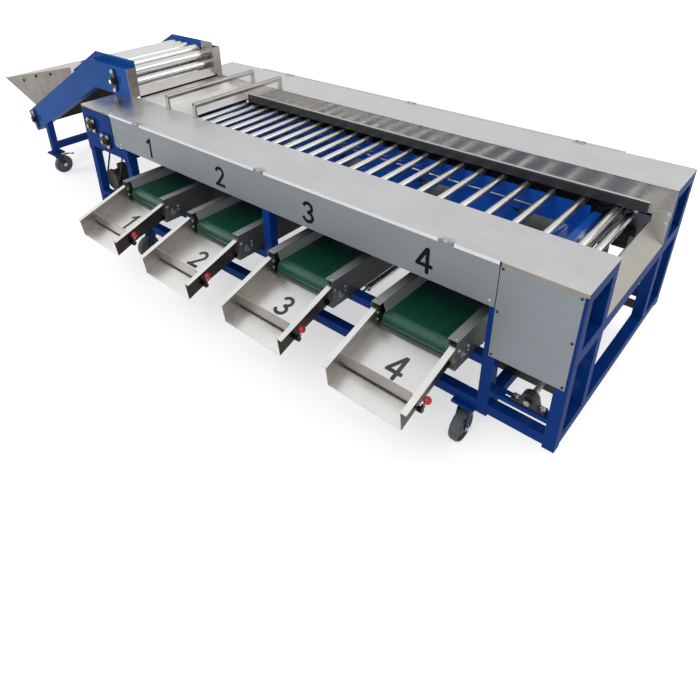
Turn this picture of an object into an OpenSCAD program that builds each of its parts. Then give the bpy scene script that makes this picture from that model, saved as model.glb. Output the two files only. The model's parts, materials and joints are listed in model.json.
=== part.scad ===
// Roller fruit grading machine with a feed hopper, a roller hoist and four graded outlets.
// The fruit climbs the hoist, rides along a bed of rollers whose gaps widen, and drops onto
// one of four cross belts, each of which ends in a chute with a swinging gate.
// Lengths are in millimetres. X runs from the feed end to the delivery end, Y from front to rear.

/* [Frame] */
// Width of the frame from front face to rear face
frame_width = 1300; // [1200:10:1400]
// Height of the cover top above the floor
cover_top = 950; // [930:5:1000]
// Width of each side cover
cover_width = 300; // [285:5:310]
// Side of the square tubes of posts and rails
tube = 50; // [46:1:54]
// Height of the post bottoms above the floor
leg_bottom = 187; // [180:1:192]
// Height of the bottom rails' undersides
rail_bottom = 203; // [201:1:210]
// Left face of the second post, from the feed end
feed_post_x = 428; // [418:2:436]
// Clear width of the delivery bay between its posts
delivery_bay = 243; // [235:1:255]
// Height of the middle rails' tops, which carry the cross conveyors
mid_rail_top = 486; // [480:1:492]
// Height of the middle rails' section
mid_rail_h = 40; // [30:1:46]
// Height of the end beam under the discharge tray
end_beam_top = 672; // [665:1:680]
// Section height of the end beam
end_beam_h = 60; // [50:1:66]
// Top of the slotted bearing rails
bearing_rail_top = 336; // [332:1:340]
// Leg of the bearing rails' angle section
bearing_rail_leg = 22; // [18:1:30]

/* [Sheet work] */
// Thickness of covers, panels and trays
sheet = 3; // [2:0.5:4]
// Thickness of the bearing plates
plate = 6; // [5:0.5:8]
// Height of the turned-down edge of the covers
cover_flange = 15; // [10:1:25]
// Left edge of the front door
door_start = 340; // [336:1:360]
// Gap between the door and the bearing plate beside it
door_gap = 7; // [4:1:10]
// Strip of frame that stays bare beside the drive box panel
panel_gap = 12; // [8:1:16]
// Height of the hinged doors
door_h = 207; // [190:1:215]
// Bottom of the drive box panel
panel_bottom = 510; // [500:5:530]
// Number of hinges on each door
hinge_count = 3; // [2:1:4]
// Length of a hinge knuckle
hinge_length = 60; // [40:1:90]
// Radius of the hinge pins
hinge_pin_r = 3; // [2:0.5:4]
// Radius of the hinge knuckles
hinge_r = 6; // [5:0.5:8]

/* [Grading bed] */
// Number of rollers on the grading run
roller_count = 24; // [23:1:26]
// Diameter of the grading rollers
roller_d = 38; // [30:1:44]
// Place of the first grading roller
roller_start = 509; // [500:1:520]
// Pitch of the rollers at the feed end
first_pitch = 98.5; // [96:0.5:100]
// Distance from the bay post to the last grading roller
last_roller_offset = 118; // [110:1:126]
// Power of the law by which the pitch widens
pitch_power = 5; // [2:1:6]
// Depth of the roller axes under the cover top
bed_depth = 162; // [155:1:170]
// Radius of the roller path round the turn wheels
turn_r = 64; // [58:1:68]
// Radius of the rollers' stub axles
stub_r = 8; // [6:0.5:10]
// Length of a link beyond half of the widest roller gap
link_spare = 12; // [8:0.5:16]
// Thickness of the guide strips beside the rollers
strip_t = 12; // [8:1:16]
// Height of the guide strips
strip_h = 50; // [40:1:56]
// Height of the levelling bars
bar_h = 92; // [80:1:110]
// Width of the levelling bars
bar_w = 28; // [22:1:34]

/* [Outlets] */
// Place of the first outlet's centre line
first_outlet_x = 816; // [806:2:826]
// Distance between neighbouring outlets
outlet_pitch = 628; // [624:1:634]
// Width over a cross conveyor's side plates
conveyor_w = 413; // [405:1:420]
// Height of the side plates
conveyor_h = 144; // [140:1:150]
// How far the conveyors stand out in front of the frame
conveyor_front = 145; // [140:1:150]
// Width of the side plates' top flange
conveyor_flange = 44; // [38:1:46]
// Width of a cross belt
belt_w = 320; // [300:2:322]
// Thickness of a cross belt
belt_t = 3; // [2:0.5:4]
// Radius of the belt drums
drum_r = 40; // [38:0.5:41]
// Depth of the belt surface under the side plates' top
belt_depth = 49; // [47:1:52]
// Room between a chute wall and the conveyor's side plate
chute_side_gap = 30; // [26:0.5:34]
// Width of the chutes' folded rim
chute_rim = 27; // [22:1:30]
// Reach of the chute tips in front of the frame
chute_reach = 471; // [462:1:480]
// Slope of the upper chute floor
chute_slope = 14; // [12:0.5:15]
// Slope of the chute lip
chute_lip_slope = 19; // [17:0.5:21]
// Slope of the chute rims
chute_rim_slope = 17.2; // [16:0.1:18]
// Diameter of the gate lever's ball
knob_d = 32; // [26:1:36]

/* [Hoist] */
// Distance of the hoist's inner walls inside the bed's edges
hoist_bed_in = 27; // [24:1:32]
// Width of one side box
hoist_box_w = 67; // [60:1:70]
// Slope of the hoist
hoist_slope = 27; // [26:0.5:28]
// Head end of the hoist, from the feed end of the frame
hoist_head_x = 180; // [170:1:190]
// Depth of the side boxes at the head
hoist_box_h = 194; // [190:1:202]
// Height of the inner walls over the side boxes
hoist_wall_rise = 41; // [30:1:50]
// Place of the knee between slope and head, before the feed end
hoist_knee = 280; // [270:1:290]
// Level run from knee to lower end of the hoist
hoist_run = 1240; // [1200:10:1260]
// Diameter of the hoist rollers
hoist_roller_d = 60; // [54:1:62]
// Pitch of the hoist rollers
hoist_pitch = 72; // [70:0.5:78]
// Radius of the hoist roller path round the head shaft
hoist_reel_r = 80; // [76:1:82]
// Rollers on the head reel
hoist_reel_count = 7; // [5:1:7]
// Length of the hopper from the hoist edge to its rim
hopper_run = 508; // [480:4:530]
// Rise of the hopper floor over that length
hopper_rise = 156; // [140:1:165]
// Width of the hopper's outer lip
hopper_lip = 102; // [60:1:120]
// Rise of the hopper's side walls from rim to hoist
hopper_wall_rise = 290; // [270:1:300]

/* [Running gear] */
// Diameter of the caster wheels
wheel_d = 150; // [140:1:155]
// Width of the caster wheels
wheel_w = 42; // [34:1:46]
// Radius of the machine's shafts
shaft_r = 12.5; // [10:0.5:14]
// How far the bearing shafts stand out of the frame faces
shaft_overhang = 45; // [42:1:52]
// Outer radius of the belt pulleys
pulley_r = 72; // [66:1:74]
// Depth of the hoist drive shaft under the cover
hoist_drive_drop = 114; // [108:1:120]

/* [Hidden] */
$fn = 64;

// Clearances and common small sizes
overrun = 2;
run_fit = 0.05;
gap = 0.3;
half_share = 0.5;
bolt_r = 6;
shaft_hole_gap = 4;
shaft_stub = 10;
shaft_tip = 8;
bolt_head_r = 10;
bolt_head_h = 7;
screw_r = 5;
screw_h = 3;
screw_inset = 10;
screw_row_shares = [0.03, 0.52, 0.975];

// Places along the machine, with one outlet for each grade
outlet_count = 4;
outlet_x = [for (i = [0 : outlet_count - 1]) first_outlet_x + i * outlet_pitch];
last_outlet_x = outlet_x[outlet_count - 1];
bay_post_gap = 40.5;
bay_post_x = last_outlet_x + conveyor_w / 2 + bay_post_gap;
delivery_post_x = bay_post_x + tube + delivery_bay;
frame_end = delivery_post_x + tube;
mid_post_gap = 35;
mid_post_x = outlet_x[1] + conveyor_w / 2 + mid_post_gap;
post_x = [0, feed_post_x, mid_post_x, bay_post_x, delivery_post_x];
rear = frame_width;
bed_front = cover_width;
inner_post_y = bed_front - sheet - tube;
bed_rear = frame_width - cover_width;
mid_y = frame_width / 2;
tube_top = cover_top - sheet;
bay_bar_h = 40;
bearing_slot_share = 0.43;
door_lap = 20;
door_panel_gap = 4;
door_end = bay_post_x + door_lap;
panel_x = [door_end + door_panel_gap, frame_end - panel_gap];
door_lip_h = 26;
hinge_inset = 293;
hinge_inset_end = 226;
hinge_spacing = (door_end - door_start - hinge_inset - hinge_inset_end) / (hinge_count - 1);
hinge_x = [for (i = [0 : hinge_count - 1]) door_start + hinge_inset + i * hinge_spacing];
hinge_leaf_t = 2;
hinge_leaf_w = 20;
hinge_leaf_share = 0.14;
knuckle_shares = [[0, 0.34], [0.66, 1]];
knuckle_gap_share = 0.01;
feed_plate_low = 640;
feed_arch_top = 672;
feed_arch_r = 24;
shaft_plate_half = 44;
sides = [0, 1];

// Grading run
roller_z = cover_top - bed_depth;
roller_r = roller_d / 2;
last_roller_x = bay_post_x + last_roller_offset;
spread = last_roller_x - roller_start - first_pitch * (roller_count - 1);
function roller_x(i) =
    roller_start + first_pitch * i + spread * pow(i / (roller_count - 1), pitch_power);
widest_pitch = roller_x(roller_count - 1) - roller_x(roller_count - 2);
link_length = widest_pitch / 2 + link_spare;
turn_angle = 58;
turn_z = roller_z - turn_r;
run_places = concat(
    [for (i = [0 : roller_count - 1]) [roller_x(i), roller_z]],
    [[last_roller_x + turn_r * sin(turn_angle), turn_z + turn_r * cos(turn_angle)]]);
tail_wheel_x = roller_start - turn_r;
roller_overlap = 20;
roller_length = bed_rear - bed_front + 2 * roller_overlap;
stub_reach = 64;
rail_reach = 66;
rail_t = 8;
rail_h = 30;
rail_hanger_w = 40;
rail_hanger_drop = 100;
rail_hanger_shares = [0.06, 0.28, 0.5, 0.72, 0.94];
knee_rail_gap = 4;
knee_rail_h = 12;
link_waist_share = 0.35;
return_margin = 90;
strip_lift = 5;
strip_z = roller_z + roller_r + strip_lift;
strip_reach = 127;
strip_end = last_roller_x + strip_reach;
bed_wall_start = 186;
tray_depth = 80;
tray_inner_x = frame_end - tray_depth;
tray_inner_z = 768;
tray_nose = 8;
tray_hem = 20;
slide_start_x = 192;
slide_start_drop = 14;
slide_start_z = cover_top - slide_start_drop;
slide_break_x = 400;
slide_break_drop = 45;
slide_break_z = cover_top - slide_break_drop;
slide_end_gap = 29;
slide_end_x = roller_start - slide_end_gap;
slide_end_lift = 30;
slide_end_z = roller_z + slide_end_lift;
bar_x = [552, 822];
bar_foot_in = 15;
bar_section_h = 30;
bar_leg_t = 12;
bar_foot_lap = 9;
stub_length = roller_length + 2 * (stub_reach - roller_overlap);
link_w = 18;
link_t = 4;
link_step = 1;
link_y = 40;
knee_r = 5;
knee_length = 24;
pillow_h = 36.5;
lower_shaft_z = bearing_rail_top + pillow_h;
return_z = lower_shaft_z - turn_r;
return_pitch = 130;
lower_shaft_in = 86;
lower_shaft_x = [(feed_post_x + tube) / 2, delivery_post_x - lower_shaft_in];
turn_disc_t = 8;
turn_disc_in = 3;

// Cross conveyors and chutes
conveyor_top = mid_rail_top + conveyor_h;
conveyor_flange_low = 30;
conveyor_rear_gap = 10;
ridge_top = 700;
slot_half = 75;
flange_in = conveyor_w / 2 - conveyor_flange;
ridge_slope = (ridge_top - conveyor_top) / (outlet_pitch / 2 - flange_in);
ridge_foot_z = conveyor_top - (flange_in - slot_half) * ridge_slope;
ridge_peak = ridge_top + sheet / cos(atan(ridge_slope));
ridge_rod_r = 6;
ridge_rod_in = 65;
bay_lip_z = 740;
bay_lip_w = 30;
bay_lip_drop = 80;
bay_bar_drop = 2;
bay_bar_top = turn_z - shaft_plate_half - bay_bar_drop;
tail_plate_x = 505;
tail_plate_top = 720;
side_plate_drop = 5;
side_plate_top = roller_z - roller_r - side_plate_drop;
belt_top = conveyor_top - belt_depth;
drum_z = belt_top - belt_t - drum_r;
belt_nose = 17;
idler_y = belt_nose - conveyor_front + drum_r + belt_t;
drum_end = 72;
drive_drum_y = rear - drum_end;
bed_plate_t = 3;
idler_shaft_r = 10;
idler_stub = 12;
chute_w = conveyor_w - 2 * chute_side_gap;
chute_start = 133;
chute_floor_z = 500;
chute_break = 318;
chute_lip_in = 11;
chute_lip = chute_reach - chute_lip_in;
chute_break_z = chute_floor_z - (chute_break - chute_start) * tan(chute_slope);
chute_lip_z = chute_break_z - (chute_lip - chute_break) * tan(chute_lip_slope);
chute_gap = 2;
chute_rim_y = conveyor_front + chute_gap;
chute_ear = 25;
chute_rim_z = 602;
chute_tip_z = chute_rim_z - (chute_reach - chute_rim_y) * tan(chute_rim_slope);
gate_y = 366;
gate_tilt = 16;
gate_rod_r = 5;
gate_h = 90;
gate_side_gap = 6;
gate_lift = 8;
gate_z = chute_break_z - (gate_y - chute_break) * tan(chute_lip_slope) + sheet + gate_lift;
lever_out = 17;
lever_r = 5;
lever_length = 68.5;
lever_lean = 23;

// Hoist
hoist_inner = bed_front + hoist_bed_in;
hoist_front = hoist_inner - hoist_box_w;
hoist_z = cover_top;
hoist_top = hoist_z + hoist_box_h;
hoist_wall_top = hoist_top + hoist_wall_rise;
slope_dir = [-cos(hoist_slope), -sin(hoist_slope)];
slope_normal = [-sin(hoist_slope), cos(hoist_slope)];
hoist_knee_top = [-hoist_knee, hoist_top];
hoist_foot_top = hoist_knee_top + slope_dir * hoist_run / cos(hoist_slope);
hoist_depth = 178;
hoist_foot_low = hoist_foot_top - slope_normal * hoist_depth;
hoist_knee_low = [
    hoist_foot_low[0] + (hoist_z - hoist_foot_low[1]) / tan(hoist_slope), hoist_z];
head_shaft_x = 18;
head_shaft_drop = 100;
head_shaft_z = hoist_top - head_shaft_drop;
tail_inset = 75;
tail_depth = 88;
tail_shaft_at = hoist_foot_top - slope_dir * tail_inset - slope_normal * tail_depth;
hoist_line_z = head_shaft_z + hoist_reel_r;
hoist_sheet = 3;
hoist_roller_gap = 4;
hoist_roller_r = hoist_roller_d / 2;
reel_clear = 1;
top_roller_x = head_shaft_x
    - sqrt(pow(hoist_reel_r + hoist_roller_d + reel_clear, 2) - pow(hoist_reel_r, 2));
slope_roller_depth = hoist_top - hoist_line_z;
hoist_line_knee = -hoist_knee + slope_roller_depth * tan(hoist_slope / 2);
hoist_top_count = floor((top_roller_x - hoist_line_knee) / hoist_pitch) + 1;
slope_roller_start = hoist_pitch - (top_roller_x - (hoist_top_count - 1) * hoist_pitch - hoist_line_knee)
    + slope_roller_depth * tan(hoist_slope / 2);
slope_roller_end = 1150;
slope_bed_end = 1270;
slope_bed_depth = slope_roller_depth + hoist_roller_r + gap;
top_bed_z = hoist_line_z - hoist_roller_r - gap;
top_bed_gap = 104;
top_bed_x = head_shaft_x - top_bed_gap;
raised_wall_end = 420;
head_lining_x = 60;
head_slide_in = 30;
head_slide_x = hoist_head_x - head_slide_in;
head_slide_rise = 50;
head_slide_z = hoist_z + head_slide_rise;
reel_disc_in = 4;
reel_disc_t = 6;
tail_drum_r = 36;

// Drive at the feed end
hoist_drive_x = 112;
hoist_drive_z = tube_top - hoist_drive_drop;
jack_x = 256;
jack_drop = 189;
jack_z = tube_top - jack_drop;
motor_x = 80;
motor_z = 406;
pulley_y = 62;
pulley_w = 20;
groove_depth = 9;
groove_taper = 2;
v_belt_w = 12;
v_belt_t = 9;
sprocket_r = 38;
sprocket_w = 8;
chain_t = 8;
chain_w = 10;
jack_chain_y = 108;
run_chain_y = 124;
hoist_chain_in = 6;
hoist_chain_y = bed_front + hoist_chain_in;
motor_r = 62;
motor_length = 110;
motor_gap = 20;
motor_shaft_reach = 50;
motor_box_share = 0.5;
motor_box_h = 26;
motor_base_h = 8;

// Bearings
flange_half = 44;
flange_t = 13;
hub_r = 34;
hub_h = 18;
flange_bolt_share = 0.68;
oval_half = 62;
oval_hub_r = 28;
oval_end_r = 16;
oval_waist = 34;
pillow_length = 140;
pillow_base = 14;
pillow_w = 38;
pillow_r = 34;
pillow_foot = 46;
pillow_bolt_share = 0.75;

// Casters
swivel_r = 30;
swivel_h = 9;
caster_plate_t = 6;
caster_plate_w = 105;
caster_h = 195;
caster_pad_t = rail_bottom - caster_h;
caster_trail = 40;
fork_t = 5;
fork_gap = 4;
axle_r = 8;
fork_half = 26;
fork_tip = 15;
tread_share = 0.24;
hub_share = 0.35;
web_share = 0.45;
wheel_r = wheel_d / 2;
caster_plate_z = rail_bottom - caster_pad_t - caster_plate_t;
swivel_z = caster_plate_z - swivel_h;
caster_in = 30;
stand_x = -1264;
stand_tube_z = 230;
caster_at = [
    [feed_post_x + tube + caster_plate_w / 2, caster_in],
    [bay_post_x - caster_plate_w / 2, caster_in],
    [feed_post_x + tube + caster_plate_w / 2, rear - caster_in],
    [bay_post_x - caster_plate_w / 2, rear - caster_in],
    [stand_x + tube / 2, hoist_front + tube / 2],
    [stand_x + tube / 2, rear - hoist_front - tube / 2]];

// Hopper
hopper_start_x = -1399;
hopper_start_z = hoist_top + (hopper_start_x + hoist_knee) * tan(hoist_slope);
hopper_rim_x = hopper_start_x - hopper_run;
hopper_rim_z = hopper_start_z + hopper_rise;
hopper_inset = 30;
hopper_front = hoist_front + hopper_inset;
hopper_wall_end_x = -653;
hopper_wall_foot = [hopper_wall_end_x, hoist_top + (hopper_wall_end_x + hoist_knee) * tan(hoist_slope)];
hopper_wall_top = hopper_rim_z + hopper_wall_rise;
hopper_lip_drop = 28;
hopper_hem = 8;
hopper_tongue_x = 69;
hopper_edge_x = hopper_rim_x - hopper_lip;

// The whole part stands with its box centred over the origin
place_x = -(hopper_edge_x + frame_end) / 2;
place_y = -(rear + shaft_overhang - chute_reach) / 2;

// Placing the design in the part's own frame
module place() {
    translate([place_x, place_y, 0])
        children();
}

// A box between two corners
module block(x0, x1, y0, y1, z0, z1) {
    translate([x0, y0, z0])
        cube([x1 - x0, y1 - y0, z1 - z0]);
}

// A cylinder along X, Y or Z that starts at a point
module rod_x(at, r, length) {
    translate(at)
        rotate([0, 90, 0])
            cylinder(r = r, h = length);
}

module rod_y(at, r, length) {
    translate(at)
        rotate([-90, 0, 0])
            cylinder(r = r, h = length);
}

module rod_z(at, r, length) {
    translate(at)
        cylinder(r = r, h = length);
}

// An outline in X and Z, carried along Y
module profile_y(points, y0, y1) {
    translate([0, y1, 0])
        rotate([90, 0, 0])
            linear_extrude(y1 - y0)
                polygon(points);
}

// An outline in Y and Z, carried along X
module profile_x(points, x0, x1) {
    translate([x0, 0, 0])
        rotate([90, 0, 90])
            linear_extrude(x1 - x0)
                polygon(points);
}

// The outline of a folded sheet: a path and its mitred parallel, one thickness to the left
function unit(v) = v / norm(v);
function left_of(d) = [-d[1], d[0]];
function edge_normal(p, i) = left_of(unit(p[i + 1] - p[i]));
function mitre(p, i, t) =
    i == 0 ? p[0] + t * edge_normal(p, 0)
    : i == len(p) - 1 ? p[i] + t * edge_normal(p, i - 1)
    : let (m = unit(edge_normal(p, i - 1) + edge_normal(p, i)))
        p[i] + m * t / (m * edge_normal(p, i));
function fold(p, t) = concat(p, [for (i = [len(p) - 1 : -1 : 0]) mitre(p, i, t)]);

// The children as they are, and their mirror image on the rear side
module both_sides() {
    children();
    translate([0, rear, 0])
        mirror([0, 1, 0])
            children();
}

// A closed band round two equal wheels, lying in X and Y with its width along Z
module band(length, r, t, width) {
    for (end = sides)
        translate([end * length, 0, 0])
            rotate([0, 0, end == 0 ? 90 : -90])
                rotate_extrude(angle = 180)
                    translate([r, 0])
                        square([t, width]);
    for (side = [r, -r - t])
        translate([0, side, 0])
            cube([length, t, width]);
}

// A band round two shafts along Y, given by their X and Z
module band_y(from, to, r, t, y, width) {
    run = to - from;
    translate([from[0], y + width, from[1]])
        rotate([90, 0, 0])
            rotate([0, 0, atan2(run[1], run[0])])
                band(norm(run), r, t, width);
}

// Frame: posts, rails and plates
module frame_posts() {
    color("royalblue") {
        both_sides()
            for (x = post_x)
                block(x, x + tube, 0, tube, leg_bottom, tube_top);
        both_sides()
            for (x = [0, delivery_post_x])
                block(x, x + tube, inner_post_y, inner_post_y + tube, rail_bottom + tube, tube_top);
    }
}

module rails_between(y0, y1, z0, z1, first, last) {
    for (i = [first : last - 1])
        block(post_x[i] + tube, post_x[i + 1], y0, y1, z0, z1);
}

module bearing_rail(x0, x1) {
    slot_w = 2 * bolt_r;
    difference() {
        profile_x(fold([[tube, bearing_rail_top], [0, bearing_rail_top],
            [0, bearing_rail_top - bearing_rail_leg]], plate), x0, x1);
        for (side = [-1, 1])
            translate([(x0 + x1) / 2 + side * (x1 - x0) / 2 * bearing_slot_share, tube / 2, 0])
                block(-slot_w, slot_w, -bolt_r, bolt_r,
                    bearing_rail_top - plate - overrun, bearing_rail_top + overrun);
    }
}

module frame_rails() {
    last = len(post_x) - 1;
    color("royalblue") {
        both_sides() {
            rails_between(0, tube, rail_bottom, rail_bottom + tube, 0, last);
            rails_between(0, tube, tube_top - tube, tube_top, 0, last);
            rails_between(0, tube, mid_rail_top - mid_rail_h, mid_rail_top, 1, last - 1);
            block(tube, delivery_post_x, bed_front - tube, bed_front - sheet, tube_top - tube / 2, tube_top);
            bearing_rail(tube, feed_post_x);
            bearing_rail(bay_post_x + tube, delivery_post_x);
            for (x = [0, delivery_post_x]) {
                block(x, x + tube, tube, inner_post_y, tube_top - tube, tube_top);
                block(x, x + tube, tube, inner_post_y, end_beam_top - end_beam_h, end_beam_top);
            }
        }
        for (x = post_x)
            block(x, x + tube, tube, rear - tube, rail_bottom, rail_bottom + tube);
        for (x = [0, delivery_post_x])
            block(x, x + tube, inner_post_y + tube, rear - inner_post_y - tube,
                end_beam_top - end_beam_h, end_beam_top);
        block(bay_post_x, bay_post_x + tube, tube, rear - tube, bay_bar_top - bay_bar_h, bay_bar_top);
    }
}

// Sheet covers over the side channels, with turned-down edges beside the doors
module side_cover() {
    block(0, frame_end, 0, bed_front, tube_top, cover_top);
    for (span = [[0, door_start - door_gap], [door_end + door_gap, frame_end]])
        block(span[0], span[1], -sheet, 0, cover_top - cover_flange, cover_top);
}

module top_covers() {
    color("gainsboro")
        both_sides()
            side_cover();
}

module drive_box_panels() {
    color("slategray")
        both_sides()
            block(panel_x[0], panel_x[1], -sheet, 0, panel_bottom, cover_top - cover_flange);
}

// Blue plates that carry the bearings of the upper shafts
module feed_plate() {
    top = cover_top - cover_flange;
    arch_r = feed_arch_r;
    difference() {
        union() {
            block(0, door_start - door_gap, -plate, 0, feed_plate_low, top);
            block(0, feed_post_x + tube, -plate, 0, feed_plate_low, cover_top - door_h - door_gap);
        }
        block(tube, feed_post_x, -plate - overrun, overrun, feed_plate_low - overrun, feed_arch_top - arch_r);
        block(tube + arch_r, feed_post_x - arch_r, -plate - overrun, overrun,
            feed_plate_low - overrun, feed_arch_top);
        for (x = [tube + arch_r, feed_post_x - arch_r])
            rod_y([x, -plate - overrun, feed_arch_top - arch_r], arch_r, plate + 2 * overrun);
        for (at = [[hoist_drive_x, hoist_drive_z], [jack_x, jack_z]])
            rod_y([at[0], -plate - overrun, at[1]], shaft_r + shaft_hole_gap, plate + 2 * overrun);
    }
}

module shaft_plate(x0, x1, shaft_x) {
    difference() {
        block(x0, x1, tube, tube + plate, turn_z - shaft_plate_half, turn_z + shaft_plate_half);
        rod_y([shaft_x, tube - overrun, turn_z], shaft_r + shaft_hole_gap, plate + 2 * overrun);
    }
}

module bearing_plates() {
    color("royalblue")
        both_sides() {
            feed_plate();
            shaft_plate(tail_wheel_x - shaft_plate_half, tail_wheel_x + shaft_plate_half, tail_wheel_x);
            shaft_plate(bay_post_x, frame_end, last_roller_x);
        }
}

// Bed: walls, guide strips, trays and bars
module bed_side_walls() {
    color("silver")
        both_sides()
            block(bed_wall_start, frame_end, bed_front - sheet, bed_front, strip_z, tube_top);
}

module guide_strips() {
    color("dimgray")
        both_sides()
            profile_x([[bed_front, strip_z], [bed_front + strip_t, strip_z],
                [bed_front + strip_t, strip_z + strip_h - strip_t * half_share],
                [bed_front, strip_z + strip_h]], roller_start, strip_end);
}

module bed_end_trays() {
    color("silver") {
        profile_y(fold([[frame_end - sheet, end_beam_top], [tray_inner_x, tray_inner_z],
            [tray_inner_x - tray_nose, tray_inner_z - tray_nose]], -sheet),
            bed_front + gap, bed_rear - gap);
        profile_y(fold([[slide_start_x, slide_start_z - tray_hem], [slide_start_x, slide_start_z],
            [slide_break_x, slide_break_z], [slide_end_x, slide_end_z]], sheet),
            bed_front + gap, bed_rear - gap);
    }
}

// A bar with a rounded top, folded from sheet, on two legs
module bar_section(r, low) {
    circle(r);
    translate([-r, -low])
        square([2 * r, low]);
}

module levelling_bar(x) {
    r = bar_w / 2;
    foot_y = bed_front - bar_foot_in;
    low = bar_section_h - r;
    axis_z = cover_top + bar_h - r;
    translate([x, rear - foot_y, axis_z])
        rotate([90, 0, 0])
            linear_extrude(rear - 2 * foot_y)
                difference() {
                    bar_section(r, low);
                    bar_section(r - sheet, low + overrun);
                }
    for (y = [foot_y, rear - foot_y - bar_leg_t]) {
        block(x - r, x + r, y, y + bar_leg_t, cover_top, axis_z);
        block(x - r, x + r, y - bar_foot_lap, y + bar_leg_t + bar_foot_lap, cover_top, cover_top + sheet);
    }
}

module levelling_bars() {
    color("silver")
        for (x = bar_x)
            levelling_bar(x);
}

// Ridged catch plates that turn falling fruit into a slot over each belt, between side plates
module catch_plate(path) {
    profile_y(fold(path, sheet), bed_front + gap, bed_rear - gap);
}

module catch_plates() {
    lip_x = bay_post_x + tube;
    color("royalblue") {
        for (i = [0 : outlet_count - 2])
            catch_plate([[outlet_x[i] + slot_half, ridge_foot_z],
                [(outlet_x[i] + outlet_x[i + 1]) / 2, ridge_top],
                [outlet_x[i + 1] - slot_half, ridge_foot_z]]);
        catch_plate([[last_outlet_x + slot_half, ridge_foot_z], [last_outlet_x + flange_in, conveyor_top],
            [lip_x - bay_lip_w, bay_lip_z], [lip_x, bay_lip_z], [lip_x, bay_lip_z - bay_lip_drop]]);
        catch_plate([[tail_plate_x, tail_plate_top], [outlet_x[0] - flange_in, conveyor_top],
            [outlet_x[0] - slot_half, ridge_foot_z]]);
        both_sides()
            block(tail_plate_x, bay_post_x, bed_front - sheet, bed_front, conveyor_top, side_plate_top);
    }
    color("silver")
        both_sides()
            rod_x([outlet_x[0], bed_front + ridge_rod_in, ridge_peak + ridge_rod_r], ridge_rod_r,
                last_outlet_x - outlet_x[0]);
}

// Rails that the roller stubs ride on, hung from the covers
function knee_drop(p) = sqrt(pow(link_length, 2) - pow(p / 2, 2));
function knee_at(i) = [
    (run_places[i][0] + run_places[i + 1][0]) / 2,
    roller_z - knee_drop(run_places[i + 1][0] - run_places[i][0])];

module roller_rails() {
    rail_y = bed_front - rail_reach;
    color("gray")
        both_sides() {
            block(tail_wheel_x, last_roller_x, rail_y, rail_y + rail_t,
                roller_z - stub_r - gap - rail_h, roller_z - stub_r - gap);
            block(tube, delivery_post_x, rail_y, rail_y + rail_t,
                rail_bottom + tube, return_z - stub_r - gap);
            profile_y(concat(
                [for (i = [0 : roller_count - 2]) knee_at(i) - [0, knee_r + knee_rail_gap]],
                [for (i = [roller_count - 2 : -1 : 0])
                    knee_at(i) - [0, knee_r + knee_rail_gap + knee_rail_h]]),
                rail_y, rail_y + rail_t);
            for (share = rail_hanger_shares) {
                x = tail_wheel_x + (last_roller_x - tail_wheel_x) * share;
                block(x, x + rail_hanger_w, rail_y - plate, rail_y,
                    roller_z - rail_hanger_drop, tube_top);
            }
        }
}

// Cross conveyors
module conveyor_side(x, turn) {
    difference() {
        translate([x, 0, 0])
            mirror([turn, 0, 0])
                translate([0, rear - conveyor_rear_gap, 0])
                    rotate([90, 0, 0])
                        linear_extrude(rear - conveyor_rear_gap + conveyor_front)
                            polygon(fold([[conveyor_flange_low, mid_rail_top], [0, mid_rail_top],
                                [0, conveyor_top], [conveyor_flange, conveyor_top]], -sheet));
        rod_x([x - overrun - sheet, drive_drum_y, drum_z], shaft_r + shaft_hole_gap, 2 * (sheet + overrun));
        rod_x([x - overrun - sheet, idler_y, drum_z], idler_shaft_r + run_fit, 2 * (sheet + overrun));
    }
}

module conveyor_frames() {
    half = conveyor_w / 2;
    color("silver")
        for (x = outlet_x) {
            conveyor_side(x - half, 0);
            conveyor_side(x + half, 1);
            block(x - half + sheet, x + half - sheet, idler_y + drum_r, drive_drum_y - drum_r,
                belt_top - belt_t - gap - bed_plate_t, belt_top - belt_t - gap);
            block(x - half + conveyor_flange_low, x + half - conveyor_flange_low,
                -conveyor_front, rear - conveyor_rear_gap, mid_rail_top, mid_rail_top + sheet);
        }
}

module cross_belts() {
    color("darkgreen")
        for (x = outlet_x)
            translate([x - belt_w / 2, idler_y, drum_z])
                rotate([90, 0, 90])
                    band(drive_drum_y - idler_y, drum_r + gap, belt_t - gap, belt_w);
}

// Chutes
function chute_wall() = [
    [-chute_rim_y, chute_rim_z], [-chute_reach, chute_tip_z], [-chute_lip, chute_lip_z],
    [-chute_break, chute_break_z], [-chute_start, chute_floor_z]];

module chute_side(x, turn) {
    translate([x + chute_w / 2 * turn, 0, 0])
        mirror([turn < 0 ? 1 : 0, 0, 0]) {
            difference() {
                profile_x(chute_wall(), 0, sheet);
                rod_x([-overrun, -gate_y, gate_z], gate_rod_r + run_fit, sheet + 2 * overrun);
            }
            profile_x(fold([[-chute_rim_y, chute_rim_z], [-chute_reach, chute_tip_z]], sheet),
                0, chute_rim);
            block(sheet, chute_side_gap - sheet, -chute_rim_y, -conveyor_front + chute_ear,
                chute_floor_z + chute_ear, chute_rim_z - sheet);
            block(0, sheet, -chute_rim_y, -conveyor_front + chute_ear,
                chute_floor_z + chute_ear, chute_rim_z - sheet);
        }
}

module chute_trays() {
    color("silver")
        for (x = outlet_x) {
            profile_x(fold([[-chute_start, chute_floor_z], [-chute_break, chute_break_z],
                [-chute_lip, chute_lip_z]], -sheet), x - chute_w / 2, x + chute_w / 2);
            for (turn = [-1, 1])
                chute_side(x, turn);
        }
}

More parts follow.
